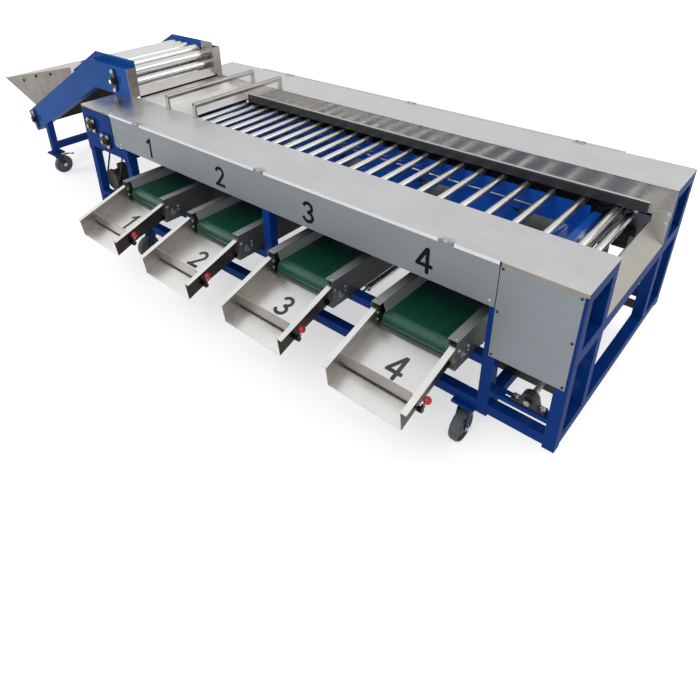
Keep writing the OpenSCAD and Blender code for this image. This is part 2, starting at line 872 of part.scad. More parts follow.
// Gate: flap on a rod, with a lever and a ball outside the right wall
module gate(i) {
    x = outlet_x[i];
    half = chute_w / 2;
    lever_x = half + sheet + lever_out;
    translate([x, -gate_y, gate_z]) {
        color("silver") {
            rotate([gate_tilt, 0, 0])
                block(-half + gate_side_gap, half - gate_side_gap, -sheet / 2, sheet / 2, 0, gate_h);
            rod_x([-half - sheet - gap, 0, 0], gate_rod_r, lever_x + half + sheet + gap + lever_r);
            translate([lever_x, 0, 0])
                rotate([0, lever_lean, 0])
                    rod_z([0, 0, 0], lever_r, lever_length);
        }
        color("crimson")
            translate([lever_x, 0, 0])
                rotate([0, lever_lean, 0])
                    translate([0, 0, lever_length])
                        sphere(knob_d / 2);
    }
}

module gate_1() { gate(0); }
module gate_2() { gate(1); }
module gate_3() { gate(2); }
module gate_4() { gate(3); }

// Bearings
module flange_bearing(x, z, y, inner) {
    translate([x, y, z])
        mirror([0, inner, 0])
            difference() {
                union() {
                    block(-flange_half, flange_half, -flange_t, 0, -flange_half, flange_half);
                    rod_y([0, -flange_t - hub_h, 0], hub_r, hub_h);
                    for (sx = [-1, 1])
                        for (sz = [-1, 1])
                            rod_y([sx * flange_half * flange_bolt_share, -flange_t - bolt_head_h,
                                sz * flange_half * flange_bolt_share], bolt_head_r, bolt_head_h);
                }
                rod_y([0, -flange_t - hub_h - overrun, 0], shaft_r + run_fit, flange_t + hub_h + 2 * overrun);
            }
}

module oval_bearing(at, y, turn) {
    translate([at[0], y, at[1]])
        rotate([0, turn, 0])
            difference() {
                union() {
                    rod_y([0, -flange_t, 0], hub_r, flange_t);
                    rod_y([0, -flange_t - hub_h, 0], oval_hub_r, hub_h);
                    for (side = [-1, 1]) {
                        rod_y([0, -flange_t, side * oval_half], oval_end_r, flange_t);
                        rod_y([0, -flange_t - bolt_head_h, side * oval_half], bolt_head_r, bolt_head_h);
                    }
                    profile_y([[-oval_end_r, oval_half], [oval_end_r, oval_half], [oval_waist, 0],
                        [oval_end_r, -oval_half], [-oval_end_r, -oval_half], [-oval_waist, 0]], -flange_t, 0);
                }
                rod_y([0, -flange_t - hub_h - overrun, 0], shaft_r + run_fit, flange_t + hub_h + 2 * overrun);
            }
}

module flange_bearings() {
    color("dimgray")
        both_sides() {
            flange_bearing(hoist_drive_x, hoist_drive_z, -plate, 0);
            flange_bearing(jack_x, jack_z, -plate, 0);
            flange_bearing(tail_wheel_x, turn_z, tube + plate, 1);
            flange_bearing(last_roller_x, turn_z, tube + plate, 1);
            oval_bearing([head_shaft_x, head_shaft_z], hoist_front, 0);
            oval_bearing(tail_shaft_at, hoist_front, 0);
        }
}

module pillow_block() {
    difference() {
        union() {
            block(-pillow_length / 2, pillow_length / 2, -pillow_w / 2, pillow_w / 2, 0, pillow_base);
            rod_y([0, -pillow_w / 2, pillow_h], pillow_r, pillow_w);
            profile_y([[-pillow_foot, 0], [pillow_foot, 0], [pillow_r, pillow_h],
                [-pillow_r, pillow_h]], -pillow_w / 2, pillow_w / 2);
            for (side = [-1, 1])
                rod_z([side * pillow_length / 2 * pillow_bolt_share, 0, pillow_base],
                    bolt_head_r, bolt_head_h);
        }
        rod_y([0, -pillow_w, pillow_h], shaft_r + run_fit, 2 * pillow_w);
    }
}

module pillow_blocks() {
    color("darkslategray")
        both_sides()
            for (x = lower_shaft_x)
                translate([x, tube / 2, bearing_rail_top])
                    pillow_block();
}

// Shafts of the roller run
module turn_shaft(x, z, y0) {
    rod_y([x, y0, z], shaft_r, rear - 2 * y0);
    both_sides()
        rod_y([x, bed_front - roller_overlap + turn_disc_in, z], turn_r - roller_r - gap, turn_disc_t);
}

module delivery_upper_shaft() {
    color("lightgray")
        turn_shaft(last_roller_x, turn_z, tube);
}

module delivery_lower_shaft() {
    color("lightgray")
        turn_shaft(lower_shaft_x[1], lower_shaft_z, -shaft_stub);
}

module feed_upper_shaft() {
    color("lightgray") {
        turn_shaft(tail_wheel_x, turn_z, tube + gap);
        rod_y([tail_wheel_x, run_chain_y, turn_z], sprocket_r, sprocket_w);
    }
}

module feed_lower_shaft() {
    color("lightgray")
        turn_shaft(lower_shaft_x[0], lower_shaft_z, -shaft_stub);
}

// Rollers
module bed_roller(at) {
    rod_y([at[0], mid_y - roller_length / 2, at[1]], roller_r, roller_length);
    rod_y([at[0], mid_y - stub_length / 2, at[1]], stub_r, stub_length);
}

module grading_rollers() {
    color("whitesmoke")
        for (at = run_places)
            bed_roller(at);
}

module return_rollers() {
    count = floor((lower_shaft_x[1] - lower_shaft_x[0] - 2 * return_margin) / return_pitch);
    color("whitesmoke")
        for (i = [0 : count])
            bed_roller([lower_shaft_x[0] + return_margin + i * return_pitch, return_z]);
}

// Pairs of links that fold between neighbouring rollers and set their distance
module link(from, to, y) {
    run = to - from;
    translate([from[0], y + link_t, from[1]])
        rotate([90, 0, 0])
            rotate([0, 0, atan2(run[1], run[0])])
                linear_extrude(link_t)
                    difference() {
                        union() {
                            circle(link_w / 2);
                            translate([norm(run), 0])
                                circle(link_w / 2);
                            translate([0, -link_w * link_waist_share])
                                square([norm(run), 2 * link_w * link_waist_share]);
                        }
                        circle(stub_r + run_fit);
                        translate([norm(run), 0])
                            circle(knee_r + run_fit);
                    }
}

module spacing_links() {
    y = bed_front - link_y;
    color("darkgray")
        both_sides()
            for (i = [0 : roller_count - 2]) {
                link(run_places[i], knee_at(i), y);
                link(run_places[i + 1], knee_at(i), y - link_t - link_step);
                rod_y([knee_at(i)[0], y - knee_length + link_t + link_step, knee_at(i)[1]],
                    knee_r, knee_length);
            }
}

// Belt drums
module belt_drive_shaft() {
    half = conveyor_w / 2;
    start = outlet_x[0] - half - shaft_stub;
    end = bay_post_x + tube + motor_shaft_reach - shaft_stub;
    color("lightgray") {
        rod_x([start, drive_drum_y, drum_z], shaft_r, end - start);
        for (x = outlet_x)
            rod_x([x - belt_w / 2, drive_drum_y, drum_z], drum_r, belt_w);
    }
}

module belt_idler_drums() {
    half = conveyor_w / 2;
    color("lightgray")
        for (x = outlet_x) {
            rod_x([x - belt_w / 2, idler_y, drum_z], drum_r, belt_w);
            rod_x([x - half - idler_stub, idler_y, drum_z], idler_shaft_r, conveyor_w + 2 * idler_stub);
        }
}

// Feed end drive
module grooved_pulley(at) {
    rim = (pulley_w - v_belt_w) / 2;
    translate([at[0], pulley_y + pulley_w, at[1]])
        rotate([90, 0, 0])
            rotate_extrude()
                polygon([[0, 0], [pulley_r, 0], [pulley_r, rim],
                    [pulley_r - groove_depth, rim + groove_taper],
                    [pulley_r - groove_depth, pulley_w - rim - groove_taper], [pulley_r, pulley_w - rim],
                    [pulley_r, pulley_w], [0, pulley_w]]);
}

module jack_shaft() {
    color("lightgray") {
        rod_y([jack_x, -shaft_overhang, jack_z], shaft_r, rear + 2 * shaft_overhang);
        grooved_pulley([jack_x, jack_z]);
        rod_y([jack_x, jack_chain_y, jack_z], sprocket_r, sprocket_w);
        rod_y([jack_x, run_chain_y, jack_z], sprocket_r, sprocket_w);
    }
}

module hoist_drive_shaft() {
    color("lightgray") {
        rod_y([hoist_drive_x, -shaft_overhang, hoist_drive_z], shaft_r, rear + 2 * shaft_overhang);
        rod_y([hoist_drive_x, jack_chain_y, hoist_drive_z], sprocket_r, sprocket_w);
        rod_y([hoist_drive_x, hoist_chain_y, hoist_drive_z], sprocket_r, sprocket_w);
    }
}

module motor_pulley() {
    color("dimgray") {
        grooved_pulley([motor_x, motor_z]);
        rod_y([motor_x, pulley_y + pulley_w, motor_z], shaft_r, motor_shaft_reach);
    }
}

module drive_belt() {
    color("black")
        band_y([motor_x, motor_z], [jack_x, jack_z], pulley_r - groove_depth + gap, v_belt_t,
            pulley_y + (pulley_w - v_belt_w) / 2 + groove_taper + gap, v_belt_w - 2 * (groove_taper + gap));
}

module drive_chains() {
    inset = (chain_w - sprocket_w) / 2;
    color("dimgray") {
        band_y([jack_x, jack_z], [hoist_drive_x, hoist_drive_z], sprocket_r + gap, chain_t,
            jack_chain_y - inset, chain_w);
        band_y([jack_x, jack_z], [tail_wheel_x, turn_z], sprocket_r + gap, chain_t,
            run_chain_y - inset, chain_w);
        band_y([hoist_drive_x, hoist_drive_z], [head_shaft_x, head_shaft_z], sprocket_r + gap, chain_t,
            hoist_chain_y - inset, chain_w);
    }
}

module feed_motor() {
    y0 = pulley_y + pulley_w + motor_gap;
    box = motor_r * motor_box_share;
    difference() {
        union() {
            rod_y([motor_x, y0, motor_z], motor_r, motor_length);
            block(0, tube, y0, y0 + motor_length, rail_bottom + tube, motor_z);
            block(motor_x - box, motor_x + box, y0 + box, y0 + motor_length - box,
                motor_z, motor_z + motor_r + motor_box_h);
        }
        rod_y([motor_x, y0 - overrun, motor_z], shaft_r + run_fit, motor_shaft_reach);
    }
}

// The belt motor hangs on the bay post and drives the end of the belt shaft
module belt_motor() {
    x0 = bay_post_x + tube;
    difference() {
        union() {
            block(x0, x0 + motor_base_h, drive_drum_y - motor_r, rear, drum_z - motor_r, drum_z + motor_r);
            rod_x([x0, drive_drum_y, drum_z], motor_r, motor_length);
        }
        rod_x([x0 - overrun, drive_drum_y, drum_z], shaft_r + run_fit, motor_shaft_reach);
    }
}

module gear_motors() {
    color("dimgray") {
        feed_motor();
        belt_motor();
    }
}

// Hoist
function box_outline() = [
    [hoist_head_x, hoist_z], [hoist_head_x, hoist_top], hoist_knee_top, hoist_foot_top,
    hoist_foot_low, hoist_knee_low];
function wall_outline() = [
    [hoist_head_x, hoist_z], [hoist_head_x, hoist_wall_top],
    hoist_knee_top + [-hoist_wall_rise * tan(hoist_slope / 2), hoist_wall_rise],
    slope_point(raised_wall_end, -hoist_wall_rise), slope_point(raised_wall_end, 0),
    hoist_foot_top, hoist_foot_low, hoist_knee_low];

module side_box() {
    shaft_gap = shaft_r + shaft_hole_gap;
    difference() {
        union() {
            profile_y(box_outline(), hoist_front, hoist_front + hoist_sheet);
            profile_y(wall_outline(), hoist_inner - hoist_sheet, hoist_inner);
            profile_y(fold([[hoist_head_x, hoist_top], hoist_knee_top, hoist_foot_top,
                hoist_foot_low, hoist_knee_low], hoist_sheet), hoist_front, hoist_inner);
        }
        for (at = [[head_shaft_x, head_shaft_z], tail_shaft_at])
            rod_y([at[0], hoist_front - overrun, at[1]], shaft_gap, hoist_box_w + 2 * overrun);
    }
}

module hoist_side_boxes() {
    color("royalblue")
        both_sides()
            side_box();
}

module hoist_linings() {
    color("silver") {
        both_sides()
            block(hoist_head_x, hoist_head_x + hoist_sheet, hoist_front, hoist_inner + hoist_sheet,
                hoist_z, hoist_top - gap);
        both_sides()
            block(head_lining_x, hoist_head_x, hoist_inner, hoist_inner + hoist_sheet,
                hoist_z, hoist_wall_top);
        profile_y(fold([[head_slide_x, head_slide_z], [hoist_head_x + hoist_sheet, hoist_z]], -hoist_sheet),
            hoist_inner, rear - hoist_inner);
        profile_y(fold([[top_bed_x, top_bed_z],
            [-hoist_knee + slope_bed_depth * tan(hoist_slope / 2), top_bed_z],
            slope_point(slope_bed_end, slope_bed_depth)], hoist_sheet), hoist_inner, rear - hoist_inner);
    }
}

// A point under the top edge of the slope, by its distance from the knee and its depth
function slope_point(s, depth) = hoist_knee_top + slope_dir * s - slope_normal * depth;

module hoist_roller(at) {
    rod_y([at[0], hoist_inner + hoist_roller_gap, at[1]], hoist_roller_d / 2,
        rear - 2 * (hoist_inner + hoist_roller_gap));
}

module hoist_slope_rollers() {
    count = floor((slope_roller_end - slope_roller_start) / hoist_pitch);
    color("whitesmoke")
        for (i = [0 : count - 1])
            hoist_roller(slope_point(slope_roller_start + i * hoist_pitch, slope_roller_depth));
}

module hoist_top_rollers() {
    color("whitesmoke")
        for (i = [0 : hoist_top_count - 1])
            hoist_roller([top_roller_x - i * hoist_pitch, hoist_line_z]);
}

module hoist_head_reel() {
    start = hoist_front - flange_t - hub_h - shaft_tip;
    color("whitesmoke") {
        rod_y([head_shaft_x, start, head_shaft_z], shaft_r, rear - 2 * start);
        rod_y([head_shaft_x, hoist_chain_y, head_shaft_z], sprocket_r, sprocket_w);
        both_sides()
            rod_y([head_shaft_x, hoist_inner + reel_disc_in, head_shaft_z], hoist_reel_r, reel_disc_t);
        for (i = [0 : hoist_reel_count - 1])
            hoist_roller([head_shaft_x, head_shaft_z]
                + hoist_reel_r * [sin(i * 360 / hoist_reel_count), cos(i * 360 / hoist_reel_count)]);
    }
}

module hoist_tail_shaft() {
    start = hoist_front - flange_t - hub_h - shaft_tip;
    color("lightgray") {
        rod_y([tail_shaft_at[0], start, tail_shaft_at[1]], shaft_r, rear - 2 * start);
        rod_y([tail_shaft_at[0], hoist_inner + hoist_roller_gap, tail_shaft_at[1]], tail_drum_r,
            rear - 2 * (hoist_inner + hoist_roller_gap));
    }
}

// Hopper: a sloped tray with wedge-shaped side walls and a lip
module hopper() {
    fall = hopper_rise / hopper_run;
    tongue = [hopper_start_x + hopper_tongue_x, hopper_start_z - hopper_tongue_x * fall];
    color("silver") {
        profile_y(fold([[hopper_edge_x, hopper_rim_z - hopper_lip_drop],
            [hopper_edge_x + hopper_hem, hopper_rim_z - hopper_lip_drop], [hopper_rim_x, hopper_rim_z],
            [hopper_start_x, hopper_start_z]], sheet), hopper_front, rear - hopper_front);
        profile_y(fold([[hopper_start_x, hopper_start_z], tongue], sheet),
            hoist_inner + gap, rear - hoist_inner - gap);
        both_sides()
            profile_y([[hopper_rim_x, hopper_rim_z], [hopper_start_x, hopper_start_z], hopper_wall_foot,
                hopper_wall_foot + [0, hopper_wall_top - hopper_wall_foot[1]]],
                hopper_front, hopper_front + sheet);
    }
}

// Height of the slope's underside
function hoist_under(x) = hoist_foot_low[1] + (x - hoist_foot_low[0]) * tan(hoist_slope);

module hoist_stand() {
    color("royalblue") {
        both_sides()
            profile_y([[stand_x, rail_bottom], [stand_x + tube, rail_bottom],
                [stand_x + tube, hoist_under(stand_x + tube)], [stand_x, hoist_under(stand_x)]],
                hoist_front, hoist_front + tube);
        block(stand_x, stand_x + tube, hoist_front + tube, rear - hoist_front - tube,
            stand_tube_z, stand_tube_z + tube);
    }
}

// Doors that hang on knuckle hinges along the covers' outer edges
module knuckle(x, share0, share1, r) {
    rod_x([x + (share0 - half_share) * hinge_length, -hinge_r, cover_top], r,
        (share1 - share0) * hinge_length);
}

module door() {
    door_top = cover_top - gap;
    notch = (half_share - knuckle_shares[0][1]) * hinge_length;
    difference() {
        union() {
            block(door_start, door_end, -sheet, 0, cover_top - door_h, door_top);
            block(door_start, door_end, -2 * sheet, -sheet, cover_top - door_lip_h, door_top);
        }
        for (x = hinge_x)
            block(x - notch, x + notch, -2 * sheet - overrun, overrun, cover_top - hinge_r - gap, cover_top);
    }
    for (x = hinge_x) {
        knuckle(x, 0, 1, hinge_pin_r);
        for (share = knuckle_shares)
            knuckle(x, share[0], share[1], hinge_r - gap);
    }
}

module front_door() {
    color("slategray")
        door();
}

module rear_door() {
    color("slategray")
        translate([0, rear, 0])
            mirror([0, 1, 0])
                door();
}

module door_hinge(x) {
    difference() {
        union() {
            knuckle(x, knuckle_shares[0][1] + knuckle_gap_share, knuckle_shares[1][0] - knuckle_gap_share,
                hinge_r - gap);
            block(x - hinge_length * hinge_leaf_share, x + hinge_length * hinge_leaf_share,
                -hinge_r, hinge_leaf_w, cover_top, cover_top + hinge_leaf_t);
        }
        knuckle(x, 0, 1, hinge_pin_r + run_fit);
    }
}

module door_hinges() {
    color("silver")
        both_sides()
            for (x = hinge_x)
                door_hinge(x);
}

module cover_screws() {
    color("black")
        both_sides()
            for (x = panel_x + [screw_inset, -screw_inset])
                for (share = screw_row_shares)
                    rod_y([x, -sheet - screw_h,
                        panel_bottom + (cover_top - cover_flange - panel_bottom) * share],
                        screw_r, screw_h);
}

// Casters
module caster_plates() {
    half = caster_plate_w / 2;
    color("royalblue")
        for (at = caster_at)
            block(at[0] - half, at[0] + half, at[1] - half, at[1] + half,
                caster_plate_z, caster_plate_z + caster_plate_t + caster_pad_t);
}

// The frame's casters trail to the front, the stand's towards its middle
module caster_spot(at) {
    translate([at[0], at[1], 0])
        mirror([0, at[0] > 0 || at[1] > mid_y ? 1 : 0, 0])
            children();
}

module caster_fork(i) {
    at = caster_at[i];
    inner = wheel_w / 2 + fork_gap;
    color("silver")
        caster_spot(at) {
            rod_z([0, 0, swivel_z], swivel_r, swivel_h - gap);
            block(-inner - fork_t, inner + fork_t, -fork_half, fork_half, swivel_z - fork_t, swivel_z);
            for (side = [-1, 1])
                translate([side * (inner + fork_t / 2) - fork_t / 2, 0, 0]) {
                    profile_x([[-fork_half, swivel_z], [fork_half, swivel_z],
                        [caster_trail + fork_tip, wheel_r], [caster_trail - fork_tip, wheel_r]], 0, fork_t);
                    rod_x([0, caster_trail, wheel_r], fork_tip, fork_t);
                }
            rod_x([-inner - fork_t, caster_trail, wheel_r], axle_r, 2 * (inner + fork_t));
        }
}

module caster_wheel(i) {
    at = caster_at[i];
    tread = wheel_w * tread_share;
    color("slategray")
        caster_spot(at)
            translate([-wheel_w / 2, caster_trail, wheel_r])
                rotate([0, 90, 0])
                    rotate_extrude()
                        polygon([[axle_r + run_fit, 0], [wheel_r * hub_share, 0],
                            [wheel_r * web_share, tread],
                            [wheel_r - tread, tread], [wheel_r - tread, 0], [wheel_r - tread / 2, 0],
                            [wheel_r, tread], [wheel_r, wheel_w - tread], [wheel_r - tread / 2, wheel_w],
                            [wheel_r - tread, wheel_w], [wheel_r - tread, wheel_w - tread],
                            [wheel_r * web_share, wheel_w - tread], [wheel_r * hub_share, wheel_w],
                            [axle_r + run_fit, wheel_w]]);
}

module caster_fork_1() { caster_fork(0); }
module caster_fork_2() { caster_fork(1); }
module caster_fork_3() { caster_fork(2); }
module caster_fork_4() { caster_fork(3); }
module caster_fork_5() { caster_fork(4); }
module caster_fork_6() { caster_fork(5); }
module caster_wheel_1() { caster_wheel(0); }
module caster_wheel_2() { caster_wheel(1); }
module caster_wheel_3() { caster_wheel(2); }
module caster_wheel_4() { caster_wheel(3); }
module caster_wheel_5() { caster_wheel(4); }
module caster_wheel_6() { caster_wheel(5); }

// Drawing
place() frame_posts();
place() frame_rails();
place() top_covers();
place() drive_box_panels();
place() bearing_plates();
place() bed_side_walls();
place() guide_strips();
place() bed_end_trays();
place() levelling_bars();
place() catch_plates();
place() roller_rails();
place() conveyor_frames();
place() cross_belts();
place() chute_trays();
place() flange_bearings();
place() pillow_blocks();
place() gear_motors();
place() drive_belt();
place() drive_chains();
place() hoist_side_boxes();
place() hoist_linings();
place() hopper();
place() hoist_stand();
place() door_hinges();
place() cover_screws();
place() caster_plates();
place() front_door();
place() rear_door();
place() grading_rollers();
place() spacing_links();
place() return_rollers();
place() delivery_upper_shaft();
place() delivery_lower_shaft();
place() feed_upper_shaft();
place() feed_lower_shaft();
place() belt_drive_shaft();
place() belt_idler_drums();
place() jack_shaft();
place() hoist_drive_shaft();
place() hoist_head_reel();
place() hoist_tail_shaft();
place() motor_pulley();
place() hoist_slope_rollers();
place() hoist_top_rollers();
place() gate_1();
place() gate_2();
place() gate_3();
place() gate_4();
place() caster_fork_1();
place() caster_fork_2();
place() caster_fork_3();
place() caster_fork_4();
place() caster_fork_5();
place() caster_fork_6();
place() caster_wheel_1();
place() caster_wheel_2();
place() caster_wheel_3();
place() caster_wheel_4();
place() caster_wheel_5();
place() caster_wheel_6();
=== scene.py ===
"""Looks of a roller fruit grading machine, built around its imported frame.

Every finish is procedural. New pieces are surfaces worked out with numpy as whole arrays.
Places are in metres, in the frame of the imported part.
"""

import json
import math

import bpy
import numpy as np
from mathutils import Matrix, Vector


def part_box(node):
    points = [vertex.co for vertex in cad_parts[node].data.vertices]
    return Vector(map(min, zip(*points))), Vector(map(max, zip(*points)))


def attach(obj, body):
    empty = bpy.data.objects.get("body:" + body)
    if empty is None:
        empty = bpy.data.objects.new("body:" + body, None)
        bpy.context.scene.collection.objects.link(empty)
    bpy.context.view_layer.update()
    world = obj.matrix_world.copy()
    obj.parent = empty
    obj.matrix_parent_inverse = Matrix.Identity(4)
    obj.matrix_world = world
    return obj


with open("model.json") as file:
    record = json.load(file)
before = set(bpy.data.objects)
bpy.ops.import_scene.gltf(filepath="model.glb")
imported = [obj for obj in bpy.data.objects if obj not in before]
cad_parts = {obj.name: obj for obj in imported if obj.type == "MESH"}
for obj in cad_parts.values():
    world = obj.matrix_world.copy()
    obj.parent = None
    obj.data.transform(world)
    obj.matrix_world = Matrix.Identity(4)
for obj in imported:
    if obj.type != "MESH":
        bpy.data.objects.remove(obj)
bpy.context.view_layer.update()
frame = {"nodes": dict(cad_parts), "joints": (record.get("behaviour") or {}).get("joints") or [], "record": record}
NODES = frame["nodes"]

# Places from the frame, and sizes that many pieces share
SHEET = 0.003
SHAFT_R = 0.0125
FEED_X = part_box("top_covers")[0].x
FRONT_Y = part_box("frame_posts")[0].y
REAR_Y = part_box("frame_posts")[1].y
COVER_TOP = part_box("bed_side_walls")[1].z + SHEET
DOOR_START, DOOR_END = (corner.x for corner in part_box("front_door"))
GATES = ["gate_1", "gate_2", "gate_3", "gate_4"]
CASTERS = range(1, 7)


def joint_at(child):
    """The place of the joint that carries a body."""
    return np.array(next(j for j in frame["joints"] if j["child"] == child)["pos_m"])


def spot(x, y, z):
    """A place measured from the frame's front feed corner on the floor."""
    return np.array([FEED_X + x, FRONT_Y + y, z])


def both_faces(x, inset, z):
    """The same place on the front and on the rear of the frame, each with its outward direction."""
    return [((x, FRONT_Y + inset, z), (0, -1, 0)), ((x, REAR_Y - inset, z), (0, 1, 0))]


OUTLETS = [joint_at(gate)[0] for gate in GATES]
CHUTE_HALF = 0.1765


# Node helpers for the finishes


def new_finish(name):
    """A new material with its node tree and its shader."""
    material = bpy.data.materials.new(name)
    material.use_nodes = True
    tree = material.node_tree
    return material, tree, tree.nodes["Principled BSDF"]


def coords(tree, stretch=(1, 1, 1), turn=(0, 0, 0)):
    """Object coordinates, turned and stretched, so that a texture can run in streaks."""
    source = tree.nodes.new("ShaderNodeTexCoord")
    mapping = tree.nodes.new("ShaderNodeMapping")
    mapping.inputs["Scale"].default_value = stretch
    mapping.inputs["Rotation"].default_value = turn
    tree.links.new(source.outputs["Object"], mapping.inputs["Vector"])
    return mapping.outputs["Vector"]


def noise(tree, vector, scale, detail=4.0):
    """A noise value over the given coordinates."""
    node = tree.nodes.new("ShaderNodeTexNoise")
    node.inputs["Scale"].default_value = scale
    node.inputs["Detail"].default_value = detail
    tree.links.new(vector, node.inputs["Vector"])
    return node.outputs["Fac"]


def facing(tree, axis):
    """How far a face looks along an axis, from -1 to 1."""
    source = tree.nodes.new("ShaderNodeTexCoord")
    parts = tree.nodes.new("ShaderNodeSeparateXYZ")
    tree.links.new(source.outputs["Normal"], parts.inputs["Vector"])
    return parts.outputs[axis]


def sum_up(tree, operation, first, second):
    """The result of a sum on a value and a number, or on two values."""
    node = tree.nodes.new("ShaderNodeMath")
    node.operation = operation
    for socket, part in zip(node.inputs, (first, second)):
        if isinstance(part, (int, float)):
            socket.default_value = part
        else:
            tree.links.new(part, socket)
    return node.outputs[0]


def spread(tree, value, low, high, start=0.32, end=0.68):
    """A noise value mapped from its usual range to another range."""
    node = tree.nodes.new("ShaderNodeMapRange")
    for socket, number in zip(("From Min", "From Max", "To Min", "To Max"), (start, end, low, high)):
        node.inputs[socket].default_value = number
    tree.links.new(value, node.inputs["Value"])
    return node.outputs["Result"]


def blend_colours(tree, value, first, second):
    """A colour between two colours, by a value from 0 to 1."""
    node = tree.nodes.new("ShaderNodeMix")
    node.data_type = "RGBA"
    for socket, colour in ((6, first), (7, second)):
        if isinstance(colour, tuple):
            node.inputs[socket].default_value = (*colour, 1)
        else:
            tree.links.new(colour, node.inputs[socket])
    tree.links.new(value, node.inputs["Factor"])
    return node.outputs[2]


def relief(tree, shader, height, depth):
    """A bump of the given depth in metres."""
    node = tree.nodes.new("ShaderNodeBump")
    node.inputs["Strength"].default_value = 1.0
    node.inputs["Distance"].default_value = depth
    tree.links.new(height, node.inputs["Height"])
    tree.links.new(node.outputs["Normal"], shader.inputs["Normal"])


def shade(colour, factor):
    """A colour made darker or lighter."""
    return tuple(min(1.0, part * factor) for part in colour)


# Finishes

FINE_STREAK, LONG_STREAK = 420, 3
STREAK_STRETCH = {
    "x": (LONG_STREAK, FINE_STREAK, FINE_STREAK),
    "y": (FINE_STREAK, LONG_STREAK, FINE_STREAK),
    "z": (FINE_STREAK, FINE_STREAK, LONG_STREAK),
}
STREAK_DEPTH = 0.00006
WALL_CLOUD_STRETCH = (9, 9, 22)
LEVEL_FROM, LEVEL_FULL = 0.3, 0.8
SIDEWAYS_FROM, SIDEWAYS_FULL = 0.4, 0.6
TONE_SCALE, SKIN_SCALE, SCUFF_SCALE = 3.2, 260.0, 2.6
SCUFF_STRETCH = (14, 14, 34)
SKIN_DEPTH = 0.0001
WEAR_STRETCH = (55, 1.6, 55)
WEAVE_STRETCH = (1, 1, 0.2)
WEAVE_SCALE, WEAVE_DISTORTION, WEAVE_DEPTH = 180.0, 0.6, 0.00005


def brushed_metal(name, colour, grain, rough, smudge=0.82, metallic=1.0):
    """Sheet metal: fine streaks along one axis, and broad cloudy smudges in colour and gloss."""
    material, tree, shader = new_finish(name)
    streaks = noise(tree, coords(tree, STREAK_STRETCH[grain]), 1.0, 3.0)
    clouds = noise(tree, coords(tree), 5.0, 6.0)
    patch = blend_colours(tree, spread(tree, clouds, 0, 1), shade(colour, smudge), colour)
    line = blend_colours(tree, spread(tree, streaks, 0, 0.35), patch, shade(colour, smudge * smudge))
    tree.links.new(line, shader.inputs["Base Color"])
    fine, broad = spread(tree, streaks, -0.06, 0.06), spread(tree, clouds, rough - 0.05, rough + 0.07)
    tree.links.new(sum_up(tree, "ADD", fine, broad), shader.inputs["Roughness"])
    shader.inputs["Metallic"].default_value = metallic
    relief(tree, shader, streaks, STREAK_DEPTH)
    return material


def tray_metal(name, level, wall, rough, grain, metallic=1.0):
    """Folded sheet: level faces take the lighter colour as painted light, upright faces a duller, cloudy colour as
    painted shade.
    """
    material = brushed_metal(name, level, grain, rough, 0.88, metallic)
    tree = material.node_tree
    socket = tree.nodes["Principled BSDF"].inputs["Base Color"]
    streaked_colour = socket.links[0].from_socket
    cloud = spread(tree, noise(tree, coords(tree, WALL_CLOUD_STRETCH), 1.0, 6.0), 0, 1)
    # Painted shade on upright faces and painted light on level faces, blended by how far a face looks up.
    shaded_wall = blend_colours(tree, cloud, shade(wall, 0.75), wall)
    lit_top_share = spread(tree, facing(tree, "Z"), 0, 1, LEVEL_FROM, LEVEL_FULL)
    tree.links.new(blend_colours(tree, lit_top_share, shaded_wall, streaked_colour), socket)
    return material


def chute_metal(name, level, inside, shaded_outside):
    """Folded sheet of the chutes: a bright floor and rims as painted light, duller walls as painted shade, and a
    near-black painted shade on the outer faces, which lie further from the middle of their outlet than the walls'
    own middle."""
    material = tray_metal(name, level, inside, 0.32, "y")
    tree = material.node_tree
    socket = tree.nodes["Principled BSDF"].inputs["Base Color"]
    last = socket.links[0].from_node
    shaded_wall = last.inputs[6].links[0].from_socket
    parts = tree.nodes.new("ShaderNodeSeparateXYZ")
    tree.links.new(coords(tree), parts.inputs["Vector"])
    along = sum_up(tree, "SUBTRACT", parts.outputs["X"], float(OUTLETS[0]))
    away = sum_up(tree, "PINGPONG", along, float(OUTLETS[1] - OUTLETS[0]) / 2)
    beyond = spread(tree, away, 0, 1, CHUTE_HALF + 0.4 * SHEET, CHUTE_HALF + 0.6 * SHEET)
    turned = sum_up(tree, "ABSOLUTE", facing(tree, "X"), 0)
    sideways = spread(tree, turned, 0, 1, SIDEWAYS_FROM, SIDEWAYS_FULL)
    # Painted shade: sideways faces outside the walls take the near-black colour.
    outer = sum_up(tree, "MULTIPLY", beyond, sideways)
    tree.links.new(blend_colours(tree, outer, shaded_wall, shaded_outside), last.inputs[6])
    return material


def enamel(name, colour, rough=0.4, gloss=0.12, dirt=(0.018, 0.024, 0.04), dirt_share=0.25):
    """Enamel on steel: a soft orange-peel skin, uneven tone, dull scuffs and a little grime."""
    material, tree, shader = new_finish(name)
    place = coords(tree)
    tone = noise(tree, place, TONE_SCALE, 5.0)
    skin = noise(tree, place, SKIN_SCALE, 2.0)
    scuffs = noise(tree, coords(tree, SCUFF_STRETCH), SCUFF_SCALE, 9.0)
    paint = blend_colours(tree, spread(tree, tone, 0, 1), shade(colour, 0.82), shade(colour, 1.14))
    darkening = spread(tree, scuffs, 0, dirt_share, 0.56, 0.78)
    tree.links.new(blend_colours(tree, darkening, paint, dirt), shader.inputs["Base Color"])
    tree.links.new(spread(tree, scuffs, rough - 0.06, rough + 0.14), shader.inputs["Roughness"])
    shader.inputs["Specular IOR Level"].default_value = 0.0
    shader.inputs["Coat Weight"].default_value = gloss
    shader.inputs["Coat Roughness"].default_value = 0.1
    relief(tree, shader, skin, SKIN_DEPTH)
    return material


